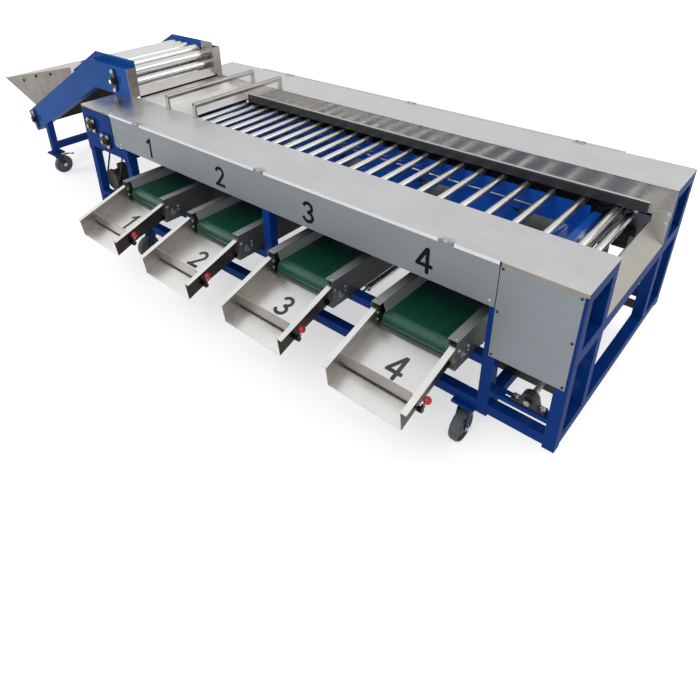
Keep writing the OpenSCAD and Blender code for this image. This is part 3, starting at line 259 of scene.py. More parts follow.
def dull(name, colour, rough, grain_size, depth, contrast=0.7, metallic=0.0, sheen=0.4):
    """Cast, moulded or rubber surfaces: grain in colour, gloss and height."""
    material, tree, shader = new_finish(name)
    place = coords(tree)
    grain = noise(tree, place, grain_size, 5.0)
    cloud = noise(tree, place, 7.0, 4.0)
    base = blend_colours(tree, spread(tree, cloud, 0, 1), shade(colour, contrast), colour)
    speck = blend_colours(tree, spread(tree, grain, 0, 0.4), base, shade(colour, contrast * contrast))
    tree.links.new(speck, shader.inputs["Base Color"])
    tree.links.new(spread(tree, grain, rough - 0.08, rough + 0.08), shader.inputs["Roughness"])
    shader.inputs["Metallic"].default_value = metallic
    shader.inputs["Specular IOR Level"].default_value = sheen
    relief(tree, shader, grain, depth)
    return material


def belt_rubber(name, colour):
    """Conveyor belt cover: a faint weave, long wear streaks along the travel and a slight sheen."""
    material, tree, shader = new_finish(name)
    wear = noise(tree, coords(tree, WEAR_STRETCH), 1.0, 6.0)
    weave = tree.nodes.new("ShaderNodeTexWave")
    weave.inputs["Scale"].default_value = WEAVE_SCALE
    weave.inputs["Distortion"].default_value = WEAVE_DISTORTION
    tree.links.new(coords(tree, WEAVE_STRETCH), weave.inputs["Vector"])
    streaked_colour = blend_colours(tree, spread(tree, wear, 0, 1), shade(colour, 0.86), shade(colour, 1.14))
    tree.links.new(streaked_colour, shader.inputs["Base Color"])
    tree.links.new(spread(tree, wear, 0.26, 0.4), shader.inputs["Roughness"])
    relief(tree, shader, weave.outputs["Fac"], WEAVE_DEPTH)
    return material


# Painted shade under the machine: its share grows from the front towards the inside.
INSIDE = ("Y", FRONT_Y - 0.09, FRONT_Y + 0.17)
# Darker towards the delivery end.
DELIVERY_END = ("X", FEED_X + 2.9, FEED_X + 3.1)


def darkened_along(material, way, darkening, share):
    """A darker colour blended in more and more along an axis, from one place to another; under the machine it is
    painted shade.
    """
    axis, start, end = way
    tree = material.node_tree
    socket = tree.nodes["Principled BSDF"].inputs["Base Color"]
    plain_colour = socket.links[0].from_socket
    parts = tree.nodes.new("ShaderNodeSeparateXYZ")
    tree.links.new(coords(tree), parts.inputs["Vector"])
    dark_share = spread(tree, parts.outputs[axis], 0, share, start, end)
    tree.links.new(blend_colours(tree, dark_share, plain_colour, darkening), socket)
    return material


FINISHES = {
    "blue_paint": enamel("blue enamel", (0.004, 0.04, 0.22)),
    # Painted light and shade on the covers: level faces lighter, upright faces brownish dark.
    "cover_steel": tray_metal("cover sheet", (0.585, 0.585, 0.595), (0.27, 0.24, 0.19), 0.34, "x"),
    "stainless": brushed_metal("stainless sheet", (0.60, 0.585, 0.57), "y", 0.3, 0.8),
    "grey_paint": brushed_metal("satin fascia", (0.235, 0.26, 0.278), "x", 0.5, 0.93, 0.6),
    "black_plastic": dull("black guide strip", (0.03, 0.032, 0.035), 0.46, 220.0, 0.0001),
    "rail_steel": dull("oiled rail", (0.05, 0.048, 0.045), 0.4, 90.0, 0.0001, 0.6, 0.7),
    # Painted shade: the belts turn near-black towards the inside, under the machine.
    "belt_green": darkened_along(belt_rubber("green belt", (0.007, 0.075, 0.042)),
                         INSIDE, (0.003, 0.014, 0.009), 0.8),
    "bearing_iron": dull("cast bearing", (0.022, 0.025, 0.028), 0.42, 320.0, 0.0003, 0.6, 0.2),
    "motor_paint": enamel("dark motor enamel", (0.03, 0.034, 0.04), 0.45),
    "v_belt_rubber": dull("drive belt", (0.012, 0.012, 0.012), 0.7, 240.0, 0.0002),
    "chain_steel": dull("oiled chain", (0.11, 0.10, 0.09), 0.38, 180.0, 0.0002, 0.6, 0.9),
    "zinc_steel": brushed_metal("zinc plate", (0.50, 0.51, 0.53), "z", 0.34, 0.7),
    "dark_screw": dull("blackened screw", (0.035, 0.033, 0.03), 0.4, 500.0, 0.0001, 0.7, 0.8),
    "roller_steel": brushed_metal("ground roller", (0.70, 0.695, 0.68), "x", 0.24, 0.88),
    "shaft_steel": brushed_metal("turned shaft", (0.30, 0.30, 0.30), "x", 0.3, 0.8),
    "gate_steel": brushed_metal("gate sheet", (0.36, 0.335, 0.305), "x", 0.33),
    "wheel_rubber": dull("caster tread", (0.13, 0.15, 0.165), 0.62, 150.0, 0.0003, 0.6),
}
SPECIAL = {
    "bed_side_walls": brushed_metal("bed wall sheet", (0.50, 0.475, 0.44), "x", 0.2, 0.84, 0.65),
    "levelling_bars": brushed_metal("bar sheet", (0.42, 0.405, 0.38), "y", 0.28, 0.8),
    "catch_plates": enamel("glossy blue sheet", (0.011, 0.115, 0.54), 0.15, 0.7),
    "hoist_side_boxes": enamel("bright blue enamel", (0.006, 0.075, 0.31), 0.4, 0.18),
    # Painted light and shade on the hopper and the hoist linings: level faces lighter, upright faces darker.
    "hopper": tray_metal("hopper sheet", (0.66, 0.65, 0.63), (0.17, 0.15, 0.13), 0.36, "x"),
    "hoist_linings": tray_metal("lining sheet", (0.62, 0.61, 0.59), (0.32, 0.29, 0.255), 0.32, "x"),
    # Painted light and shade on the slide: level faces lighter, upright faces darker; also darker towards the
    # delivery end.
    "bed_end_trays": darkened_along(tray_metal("slide sheet", (0.83, 0.815, 0.79), (0.45, 0.43, 0.40), 0.36, "x"),
                            DELIVERY_END, (0.34, 0.33, 0.29), 1.0),
    **dict.fromkeys(("hoist_top_rollers", "hoist_slope_rollers", "hoist_head_reel"),
                    brushed_metal("hoist roller", (0.74, 0.735, 0.72), "y", 0.22, 0.9)),
    "motor_pulley": dull("cast pulley", (0.16, 0.14, 0.12), 0.5, 200.0, 0.0002, 0.7, 0.5),
    # Painted light and shade on the chutes: light floor and rims, duller walls, near-black outer faces.
    "chute_trays": chute_metal("chute sheet", (0.82, 0.815, 0.80),
                               (0.36, 0.33, 0.30), (0.045, 0.037, 0.032)),
    # Painted shade on the conveyor sheet: upright faces darker, and near-black towards the inside under the
    # machine.
    "conveyor_frames": darkened_along(tray_metal("conveyor sheet", (0.42, 0.44, 0.435),
                                         (0.10, 0.108, 0.112), 0.42, "y", 0.35),
                              INSIDE, (0.009, 0.009, 0.010), 0.93),
}
FORK_BLUE = enamel("caster enamel", (0.012, 0.035, 0.095), 0.35, 0.3)
# Painted highlight: near-white for the guide strips' caps and the door hems.
HIGHLIGHT_EDGE = dull("bright edge", (0.86, 0.87, 0.87), 0.4, 120.0, 0.00002, 0.94)
# Painted shade: a near-black sheet for places in shade.
DARK_SHEET = dull("shaded sheet", (0.012, 0.013, 0.016), 0.6, 90.0, 0.00005, 0.7, 0.0, 0.15)


def dress_nodes():
    """Each node takes the finish of its slot, or its own where it differs."""
    for part in frame["record"]["subparts"]:
        name = part["node"]
        finish = SPECIAL.get(name) or FINISHES[part["material_slot"]]
        if name.startswith("caster_fork"):
            finish = FORK_BLUE
        node = NODES[name]
        if not node.material_slots:
            node.data.materials.append(finish)
        for place in node.material_slots:
            place.material = finish


# Surfaces


def piece(name, shape, finish, body, smooth=False):
    """A mesh piece from its points and face arrays, which takes a finish and rides on a body."""
    points, faces = shape
    mesh = bpy.data.meshes.new(name)
    mesh.from_pydata(points.tolist(), [], [face for array in faces for face in array.tolist()])
    mesh.update()
    made = bpy.data.objects.new(name, mesh)
    bpy.context.scene.collection.objects.link(made)
    made.data.materials.append(finish)
    if smooth:
        made.data.shade_smooth()
    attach(made, body)


def grid_faces(rows, columns, wrap=False):
    """Four-sided faces between neighbouring rows and columns of a grid; wrap closes the columns."""
    last = columns if wrap else columns - 1
    i, j = np.meshgrid(np.arange(rows - 1), np.arange(last), indexing="ij")
    k = (j + 1) % columns
    row, above = i * columns, (i + 1) * columns
    return np.stack([row + j, row + k, above + k, above + j], -1).reshape(-1, 4)


def join(shapes):
    """Several shapes as one."""
    starts = np.cumsum([0] + [len(points) for points, _ in shapes])
    faces = [array + start for (_, arrays), start in zip(shapes, starts) for array in arrays]
    return np.concatenate([points for points, _ in shapes]), faces


def revolve(profile, at, axis, steps=24):
    """A profile of radius and height turned about an axis, with flat ends:
    each ring is the centre, plus the height along the axis, plus the radius times cosine and sine."""
    axis = np.asarray(axis, float) / np.linalg.norm(axis)
    side = np.cross(axis, [0, 0, 1] if abs(axis[2]) < 0.9 else [1, 0, 0])
    side /= np.linalg.norm(side)
    angle = np.linspace(0, 2 * np.pi, steps, endpoint=False)[:, None]
    ring = np.cos(angle) * side + np.sin(angle) * np.cross(axis, side)
    radius, height = np.asarray(profile, float).T
    points = np.asarray(at) + height[:, None, None] * axis + radius[:, None, None] * ring
    loop = np.arange(steps)
    ends = np.array([loop[::-1], loop + (len(radius) - 1) * steps])
    return points.reshape(-1, 3), [grid_faces(len(radius), steps, True), ends]


def collar(inner, outer, height, at, axis, steps=32):
    """A flat ring: a closed square section turned about an axis."""
    edge = 0.1 * (outer - inner)
    profile = [(inner, 0), (outer, 0), (outer, height - edge), (outer - edge, height),
               (inner, height), (inner, 0)]
    points, faces = revolve(profile, at, axis, steps)
    return points, faces[:1]


def slab(low, high):
    """A box between two corners."""
    low, high = np.asarray(low, float), np.asarray(high, float)
    pick = np.array([[0, 0, 0], [1, 0, 0], [1, 1, 0], [0, 1, 0],
                     [0, 0, 1], [1, 0, 1], [1, 1, 1], [0, 1, 1]])
    faces = np.array([[0, 3, 2, 1], [4, 5, 6, 7], [0, 1, 5, 4], [1, 2, 6, 5], [2, 3, 7, 6], [3, 0, 4, 7]])
    return np.where(pick, high, low), [faces]


def prism(outline, axis, start, end):
    """A flat outline drawn out along an axis, from start to end. The outline holds the other two
    coordinates, in the order x, y, z, and is turned round where its area has the wrong sign,
    so that the faces look outwards."""
    along = "xyz".index(axis)
    others = [k for k in range(3) if k != along]
    flat = np.asarray(outline, float)
    first, second = flat.T
    area = (first * np.roll(second, -1) - np.roll(first, -1) * second).sum()
    flat = flat if (area > 0) == (axis != "y") else flat[::-1]
    count = len(flat)
    points = np.empty((2, count, 3))
    points[:, :, others] = flat
    points[:, :, along] = np.array([[start], [end]])
    loop = np.arange(count)
    return points.reshape(-1, 3), [grid_faces(2, count, True), np.array([loop[::-1], loop + count])]


# Fasteners: sizes of the parts of a head, as shares of its radius and height

WASHER_WIDE, WASHER_HIGH = 1.25, 0.18
CHAMFER_WIDE, CHAMFER_FROM = 0.85, 0.88
DOME_ANGLES = np.radians(np.linspace(0, 75, 7))


def hex_bolt(at, axis, radius, height):
    """A hexagon head with a chamfered top, on a washer."""
    foot, rim = height * WASHER_HIGH, radius * WASHER_WIDE
    washer = revolve([(rim, 0), (rim, foot)], at, axis)
    head = [(radius, foot), (radius, height * CHAMFER_FROM), (radius * CHAMFER_WIDE, height)]
    return join([washer, revolve(head, at, axis, 6)])


def dome_screw(at, axis, radius, height):
    """A pan head: a quarter ellipse from the rim to the flat top."""
    return revolve(np.stack([radius * np.cos(DOME_ANGLES), height * np.sin(DOME_ANGLES)], -1), at, axis)


# Numbers: strokes are drawn in shares of a digit's height

STROKE = 0.15
ROUND_END = np.radians([75, 55, 35, 15])[:, None]
NUMBER_LIFT, STROKE_LIFT = 0.0004, 0.0001
NUMBER_T = 0.0006


def arc(centre, radius, start, end, steps=22):
    """Points on a circle between two angles in degrees."""
    angle = np.radians(np.linspace(start, end, steps))
    return np.stack([centre[0] + radius[0] * np.cos(angle), centre[1] + radius[1] * np.sin(angle)], -1)


def straight(*points):
    """A path of straight stretches."""
    return np.array(points, float)


HALF = STROKE / 2
DIGIT_STROKES = {
    1: [straight((0.36, 0), (0.36, 1)), straight((0.40, 0.965), (0.10, 0.74))],
    2: [np.concatenate([arc((0.31, 0.70), (0.235, 0.22), 165, -35), straight((0.10, HALF))]),
        straight((0.0, HALF), (0.60, HALF))],
    3: [arc((0.28, 0.72), (0.22, 0.20), 160, -90), arc((0.28, 0.29), (0.25, 0.21), 90, -165)],
    4: [straight((0.42, 0.98), (0.05, 0.33)), straight((0.0, 0.30), (0.64, 0.30)),
        straight((0.45, 0), (0.45, 1))],
}
DIGIT_MIDDLE = 0.32


def ribbon(path, width):
    """A flat stroke: each path point moved half a width to both sides, square to the path;
    both ends go on along the path by the sine and narrow by the cosine of a quarter turn."""
    run = np.gradient(path, axis=0)
    run /= np.linalg.norm(run, axis=1)[:, None]
    half = np.full((len(path), 1), width / 2)
    reach, narrow = np.sin(ROUND_END) * width / 4, np.cos(ROUND_END) * width / 2
    path = np.concatenate([path[:1] - run[:1] * reach, path, path[-1:] + run[-1:] * reach[::-1]])
    half = np.concatenate([narrow, half, narrow[::-1]])
    extra = len(ROUND_END)
    run = np.concatenate([run[:1].repeat(extra, 0), run, run[-1:].repeat(extra, 0)])
    side = np.stack([-run[:, 1], run[:, 0]], -1) * half
    return np.stack([path - side, path + side], 1)


def raised_stroke(path, origin, right, up, height, level):
    """A stroke as a thin closed strip on a plane, with a top, two sides and two ends."""
    flat = ribbon(path, STROKE) * height
    out = np.cross(right, up)
    base = origin + flat[..., :1] * right + flat[..., 1:] * up + out * level
    loop = np.stack([base[:, 0], base[:, 1], base[:, 1] + out * NUMBER_T, base[:, 0] + out * NUMBER_T], 1)
    rows = len(loop)
    ends = np.array([[0, 1, 2, 3], [4 * rows - 1, 4 * rows - 2, 4 * rows - 3, 4 * rows - 4]])
    return loop.reshape(-1, 3), [grid_faces(rows, 4, True)[:, ::-1], ends]


def number(digit, centre, right, up, height):
    """A digit of a few strokes on a plane, each stroke a hair higher than the one before."""
    right, up = np.array(right, float), np.array(up, float)
    origin = np.asarray(centre) - (right * DIGIT_MIDDLE + up * 0.5) * height
    return join([raised_stroke(path, origin, right, up, height, NUMBER_LIFT + STROKE_LIFT * k)
                 for k, path in enumerate(DIGIT_STROKES[digit])])


NUMBER_H = 0.115
DOOR_NUMBER_X = (0.743, 1.378, 2.013, 2.648)
DOOR_NUMBER_Z = 0.828
CHUTE_NUMBER_SHIFT = 0.013
CHUTE_NUMBER_Y = -0.258
CHUTE_SLOPE = math.radians(14)
CHUTE_FLOOR_Y, CHUTE_FLOOR_Z = -0.133, 0.503
PAINT_BLACK = dull("number paint", (0.006, 0.006, 0.007), 0.7, 300.0, 0.00005, 0.7, 0.0, 0.1)
PAINT_GREY = dull("worn number paint", (0.11, 0.111, 0.113), 0.6, 300.0, 0.00005, 0.7, 0.0, 0.1)


def outlet_numbers():
    """One number for each outlet on the front door, and the same on its chute floor."""
    up = np.array([0, math.cos(CHUTE_SLOPE), math.sin(CHUTE_SLOPE)])
    floor_z = CHUTE_FLOOR_Z + (CHUTE_NUMBER_Y - CHUTE_FLOOR_Y) * math.tan(CHUTE_SLOPE)
    for digit, middle in enumerate(OUTLETS, 1):
        on_door = spot(DOOR_NUMBER_X[digit - 1], -SHEET, DOOR_NUMBER_Z)
        shape = number(digit, on_door, (1, 0, 0), (0, 0, 1), NUMBER_H)
        piece(f"door_number_{digit}", shape, PAINT_BLACK, "front_door")
        on_floor = (middle + CHUTE_NUMBER_SHIFT, FRONT_Y + CHUTE_NUMBER_Y, floor_z)
        shape = number(digit, on_floor, (1, 0, 0), up, NUMBER_H)
        piece(f"chute_number_{digit}", shape, PAINT_GREY, "frame")


# Levers of the gates

BALL_R = 0.0163
LEVER_FOOT, LEVER_LENGTH = 0.1965, 0.0685
LEVER_LEAN = math.radians(23)
BALL_ANGLES = np.linspace(-1.55, 1.55, 17)
CLAMP = [(0.012, -0.011), (0.012, 0.009), (0.010, 0.011)]
SLEEVE = [(0.0075, 0), (0.0075, 0.032), (0.0065, 0.034)]
ROD_R, ROD_HALF = 0.0056, 0.174
# A near-black brown for the tube over the gate rod.
ROD_BROWN = dull("greasy rod", (0.03, 0.024, 0.019), 0.45, 150.0, 0.00005, 0.6, 0.5)
BALL_RED = dull("red ball", (0.55, 0.012, 0.014), 0.22, 60.0, 0.00002, 0.9)


def gate_levers():
    """A glossy ball over each lever's end, a half circle turned about the lever, a dark clamp
    with a sleeve at its foot, and a tube over the rod that carries the gate."""
    profile = BALL_R * np.stack([np.cos(BALL_ANGLES), np.sin(BALL_ANGLES)], -1)
    lean = np.array([math.sin(LEVER_LEAN), 0, math.cos(LEVER_LEAN)])
    for gate in GATES:
        foot = joint_at(gate) + [LEVER_FOOT, 0, 0]
        ball = revolve(profile, foot + lean * LEVER_LENGTH, lean)
        piece(f"{gate}_ball", ball, BALL_RED, gate, True)
        shapes = [revolve(CLAMP, foot, (1, 0, 0)), revolve(SLEEVE, foot, lean)]
        piece(f"{gate}_clamp", join(shapes), FINISHES["dark_screw"], gate)
        sleeve_end = foot - [LEVER_FOOT + ROD_HALF, 0, 0]
        tube = revolve([(ROD_R, 0), (ROD_R, 2 * ROD_HALF)], sleeve_end, (1, 0, 0))
        piece(f"{gate}_rod_tube", tube, ROD_BROWN, gate)


# Bearings

PLATE_T, FLANGE_T, HUB_H = 0.006, 0.013, 0.018
FLANGE_BOLT = 0.0299
OVAL_BOLT = 0.062
PILLOW_BOLT = 0.0525
HOIST_INSET = 0.26
POST = 0.05
RAIL_TOP = 0.336
PILLOW_BASE, PILLOW_HALF = 0.014, 0.019
BOLT_R, BOLT_H = 0.0117, 0.0088
INSERT_BORE, INSERT_R, INSERT_H = SHAFT_R + 0.0003, 0.019, 0.005
NIPPLE = [(0.004, 0), (0.004, 0.004), (0.0024, 0.005), (0.0032, 0.008), (0.0015, 0.010)]
NIPPLE_OUT, NIPPLE_STEPS = 0.033, 10
NIPPLE_WAY = np.array([0.6, 0, 0.8])
BRIGHT = brushed_metal("bright bolt", (0.58, 0.58, 0.58), "z", 0.22, 0.8)
BRASS = dull("brass nipple", (0.45, 0.3, 0.09), 0.3, 200.0, 0.00002, 0.8, 1.0)


def bearing_trim():
    """Bolts, bright inserts and grease nipples of the flange, oval and pillow bearings."""
    bolts, inserts, nipples = [], [], []

    def add(at, axis, corners):
        at, axis = np.array(at), np.array(axis)
        bolts.extend(hex_bolt(at + corner, axis, BOLT_R, BOLT_H) for corner in corners)
        inserts.append(collar(INSERT_BORE, INSERT_R, INSERT_H, at + axis * HUB_H, axis))
        seat = at + axis * HUB_H * 0.5 + NIPPLE_WAY * NIPPLE_OUT
        nipples.append(revolve(NIPPLE, seat, NIPPLE_WAY, NIPPLE_STEPS))

    square = [np.array([sx, 0, sz]) * FLANGE_BOLT for sx in (-1, 1) for sz in (-1, 1)]
    for shaft in ("hoist_drive_shaft", "jack_shaft"):
        x, _, z = joint_at(shaft)
        for at, axis in both_faces(x, -PLATE_T - FLANGE_T, z):
            add(at, axis, square)
    for shaft in ("feed_upper_shaft", "delivery_upper_shaft"):
        x, _, z = joint_at(shaft)
        for at, axis in both_faces(x, POST + PLATE_T + FLANGE_T, z):
            add(at, -np.array(axis), square)
    pair = [np.array([0, 0, side * OVAL_BOLT]) for side in (-1, 1)]
    for shaft in ("hoist_head_reel", "hoist_tail_shaft"):
        x, _, z = joint_at(shaft)
        for at, axis in both_faces(x, HOIST_INSET - FLANGE_T, z):
            add(at, axis, pair)
    for shaft in ("feed_lower_shaft", "delivery_lower_shaft"):
        x, _, z = joint_at(shaft)
        for at, axis in both_faces(x, POST / 2, z):
            for side in (-1, 1):
                seat = np.array([x + side * PILLOW_BOLT, at[1], RAIL_TOP + PILLOW_BASE])
                bolts.append(hex_bolt(seat, (0, 0, 1), BOLT_R, BOLT_H))
                face = np.array(axis) * side
                inserts.append(collar(INSERT_BORE, INSERT_R, INSERT_H, at + face * PILLOW_HALF, face))
    piece("bearing_bolts", join(bolts), BRIGHT, "frame")
    piece("bearing_inserts", join(inserts), FINISHES["dark_screw"], "frame")
    piece("grease_nipples", join(nipples), BRASS, "frame")


# Sheet work

COVER_OUTER_X = (0.025, 0.325, 3.267)
COVER_INNER_X = (0.16, 0.762, 1.36, 1.952, 2.5, 2.977, 3.269)
COVER_OUTER_IN, COVER_INNER_IN = 0.026, 0.29
COVER_SCREW, SIDE_SCREW, LEAF_SCREW = (0.0065, 0.0035), (0.006, 0.003), (0.004, 0.0016)
HINGE_APART = 0.1
HINGE_HALF, HINGE_LEAF_T = 0.03, 0.0016
HINGE_LEAF_IN = (0.0015, 0.024)
LEAF_SCREW_X, LEAF_SCREW_IN = 0.022, 0.015
DOOR_SCREW_X, DOOR_SCREW_Z = (0.412, 2.944), 0.767
STRIP_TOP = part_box("guide_strips")[1].z
STRIP_START, STRIP_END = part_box("guide_strips")[0].x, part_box("guide_strips")[1].x
STRIP_EDGE, STRIP_SINK = 0.005, 0.0005
BED_IN = 0.3


def hinge_places():
    """The middles of the hinges: the hinges' points sorted along X and cut where a wide gap lies."""
    vertices = NODES["door_hinges"].data.vertices
    points = np.empty(len(vertices) * 3)
    vertices.foreach_get("co", points)
    xs = np.unique(points[::3])
    return [group.mean() for group in np.split(xs, np.where(np.diff(xs) > HINGE_APART)[0] + 1)]


def sheet_trim():
    """Screws of the covers, hinges and doors, hinge leaves, and a near-white cap on the guide strips as a painted
    highlight.
    """
    up = (0, 0, 1)
    screws = [dome_screw((FEED_X + x, y, COVER_TOP), up, *COVER_SCREW)
              for places, inset in ((COVER_OUTER_X, COVER_OUTER_IN), (COVER_INNER_X, COVER_INNER_IN))
              for x in places for y in (FRONT_Y + inset, REAR_Y - inset)]
    leaves = []
    for x in hinge_places():
        for side, y in ((1, FRONT_Y), (-1, REAR_Y)):
            low, high = sorted(y + side * inset for inset in HINGE_LEAF_IN)
            leaf_top = COVER_TOP + HINGE_LEAF_T
            leaves.append(slab((x - HINGE_HALF, low, COVER_TOP), (x + HINGE_HALF, high, leaf_top)))
            screws += [dome_screw((x + shift, y + side * LEAF_SCREW_IN, leaf_top), up, *LEAF_SCREW)
                       for shift in (-LEAF_SCREW_X, LEAF_SCREW_X)]
    piece("cover_dome_screws", join(screws), BRIGHT, "frame", True)
    piece("hinge_leaves", join(leaves), FINISHES["zinc_steel"], "frame")
    for body, y, way in (("front_door", FRONT_Y - SHEET, -1), ("rear_door", REAR_Y + SHEET, 1)):
        corners = [dome_screw((FEED_X + x, y, DOOR_SCREW_Z), (0, way, 0), *SIDE_SCREW)
                   for x in DOOR_SCREW_X]
        piece(f"{body}_screws", join(corners), BRIGHT, body, True)
    # Painted highlight: a thin near-white cap along the top of each guide strip.
    edges = [slab((STRIP_START, y, STRIP_TOP - STRIP_SINK),
                  (STRIP_END, y + STRIP_EDGE, STRIP_TOP + STRIP_EDGE))
             for y in (FRONT_Y + BED_IN, REAR_Y - BED_IN - STRIP_EDGE)]
    piece("guide_strip_edges", join(edges), HIGHLIGHT_EDGE, "frame")


HEM = np.array([[-0.009, 0.940], [-0.003, 0.940], [-0.003, 0.9495], [-0.0062, 0.9505],
                [-0.0062, 0.9535], [-0.0069, 0.9545], [-0.0083, 0.9545], [-0.009, 0.9535]])
HEM_GAP = 0.036


def door_hems():
    """The rolled hem at the top of each door, near-white as a painted highlight: its section drawn out between the
    hinges.
    """
    stops = [DOOR_START, *(x + side * HEM_GAP for x in hinge_places() for side in (-1, 1)), DOOR_END]
    for body, edge, side in (("front_door", FRONT_Y, 1), ("rear_door", REAR_Y, -1)):
        outline = HEM * [side, 1] + [edge, 0]
        hems = [prism(outline, "x", start, end) for start, end in zip(stops[::2], stops[1::2])]
        piece(f"{body}_hem", join(hems), HIGHLIGHT_EDGE, body)


CHEEK = np.array([[3.214, 0.766], [3.2865, 0.6755], [3.289, 0.6755], [3.289, 0.845], [3.214, 0.845]])
CHEEK_T, CHEEK_GAP = 0.0012, 0.0004
CHEEK_SCREWS = ((3.276, 0.83), (3.275, 0.783))
RAIL_BACKS = (((0.51, 0.69), (2.995, 0.812)), ((0.3, 0.772), (0.51, 0.812)), ((0.3, 0.725), (0.395, 0.772)),
              ((2.995, 0.772), (3.19, 0.812)))
RAIL_BACK_IN = 0.228
GAP_STRIP = np.array([[0.178, 0.925], [0.1795, 0.925], [0.1795, 0.9475], [0.178, 0.9475]])
GAP_STRIP_IN = 0.33
RIDGE_ROD_R, RIDGE_ROD_IN, RIDGE_ROD_Z = 0.0064, 0.365, 0.7093


def bed_trim():
    """Cheek sheets at the ends of the discharge tray with their screws, near-black sheets behind the roller rails
    and in the slide's gap as painted shade, and bright skins on the rods over the ridges."""
    cheeks, screws, backs = [], [], []
    for edge, side in ((FRONT_Y, 1), (REAR_Y, -1)):
        face = edge + side * (BED_IN + CHEEK_GAP)
        cheeks.append(prism(CHEEK + [FEED_X, 0], "y", *sorted((face, face + side * CHEEK_T))))
        screws += [dome_screw((FEED_X + x, face + side * CHEEK_T, z), (0, side, 0), *SIDE_SCREW)
                   for x, z in CHEEK_SCREWS]
        # Painted shade: near-black sheets behind the roller rails.
        back = sorted((edge + side * RAIL_BACK_IN, edge + side * (RAIL_BACK_IN - CHEEK_T)))
        backs += [slab((FEED_X + low[0], back[0], low[1]), (FEED_X + high[0], back[1], high[1]))
                  for low, high in RAIL_BACKS]
    # Painted shade: a near-black strip under the slide's gap.
    backs.append(prism(GAP_STRIP + [FEED_X, 0], "y", FRONT_Y + GAP_STRIP_IN, REAR_Y - GAP_STRIP_IN))
    skin = [(RIDGE_ROD_R, 0), (RIDGE_ROD_R, OUTLETS[-1] - OUTLETS[0])]
    rods = [revolve(skin, (OUTLETS[0], y, RIDGE_ROD_Z), (1, 0, 0))
            for y in (FRONT_Y + RIDGE_ROD_IN, REAR_Y - RIDGE_ROD_IN)]
    piece("ridge_rod_skins", join(rods), BRIGHT, "frame", True)
    piece("tray_cheeks", join(cheeks), FINISHES["stainless"], "frame")
    piece("tray_cheek_screws", join(screws), BRIGHT, "frame", True)
    piece("rail_back_sheets", join(backs), DARK_SHEET, "frame")


# Hoist

HOIST_PAN = np.array([[-1.4583, 0.3910], [-0.2686, 0.9972], [-0.2693, 0.9985], [-1.4590, 0.3923]])
HOIST_PAN_IN = 0.328
HOPPER_IN = 0.29
HOPPER_BOLT = (0.011, 0.008)
HOPPER_BOLTS = ((-1.533, 0.770), (-1.275, 0.849), (-1.004, 0.910))
# A near-black, dull colour for the sheet under the hoist slope.
DARK_UNDERSIDE = dull("grimy underside", (0.02, 0.016, 0.01), 0.85, 60.0, 0.0001, 0.6, 0.0, 0.03)


def hoist_trim():
    """The dark drip sheet under the slope, drawn out between the side boxes,
    and bolts on the hopper's sides."""
    pan = prism(HOIST_PAN + [FEED_X, 0], "y", FRONT_Y + HOIST_PAN_IN, REAR_Y - HOIST_PAN_IN)
    piece("hoist_drip_sheet", pan, DARK_UNDERSIDE, "frame")
    bolts = [hex_bolt(at, axis, *HOPPER_BOLT)
             for x, z in HOPPER_BOLTS for at, axis in both_faces(FEED_X + x, HOPPER_IN, z)]
    piece("hopper_bolts", join(bolts), FINISHES["dark_screw"], "frame")


# Conveyors and chutes

CONVEYOR_HALF = 0.2065
CONVEYOR_TOP = 0.63
BELT_AXIS_Y, BELT_AXIS_Z = joint_at("belt_idler_drums")[1:]
SKIRT = np.array([[0.1635, 0.6268], [0.1605, 0.6268], [0.1455, 0.5835], [0.1475, 0.5835]])
SKIRT_Y = (-0.118, 0.29)
FLANGE_SCREW_IN, FLANGE_SCREW_Y = 0.014, -0.128
IDLER_RING = (0.0103, 0.021, 0.004)
WEB_BOLT, WEB_BOLTS = (0.0075, 0.006), ((-0.041, 0.042), (0.032, 0.0), (0.032, 0.022))
WALL_BOLT, WALL_BOLT_Y, WALL_BOLT_Z = (0.006, 0.0045), -0.135, (0.545, 0.58)
SKIRT_SHEET = brushed_metal("skirt sheet", (0.30, 0.325, 0.315), "y", 0.4, 0.85, 0.35)


def outlet_trim():
    """Screws on the conveyors' flanges, bolts and rings on their sides, bolts in the chutes' walls,
    and slanting skirts from the flanges down to the belts."""
    screws, bolts, rings, skirts = [], [], [], []
    for middle in OUTLETS:
        for side in (-1, 1):
            out = np.array([side, 0, 0])
            web = middle + side * CONVEYOR_HALF
            on_flange = (web - side * FLANGE_SCREW_IN, FRONT_Y + FLANGE_SCREW_Y, CONVEYOR_TOP)
            screws.append(dome_screw(on_flange, (0, 0, 1), *SIDE_SCREW))
            rings.append(collar(*IDLER_RING, (web, BELT_AXIS_Y, BELT_AXIS_Z), out))
            bolts += [hex_bolt((web, BELT_AXIS_Y + shift, BELT_AXIS_Z + lift), out, *WEB_BOLT)
                      for shift, lift in WEB_BOLTS]
            wall = middle + side * CHUTE_HALF
            bolts += [hex_bolt((wall, FRONT_Y + WALL_BOLT_Y, z), -out, *WALL_BOLT) for z in WALL_BOLT_Z]
            outline = SKIRT * [side, 1] + [middle, 0]
            skirts.append(prism(outline, "y", FRONT_Y + SKIRT_Y[0], FRONT_Y + SKIRT_Y[1]))
    piece("belt_skirts", join(skirts), SKIRT_SHEET, "frame")
    piece("flange_screws", join(screws), BRIGHT, "frame", True)
    piece("conveyor_bolts", join(bolts), BRIGHT, "frame")
    piece("idler_rings", join(rings), FINISHES["shaft_steel"], "frame")


# Running gear

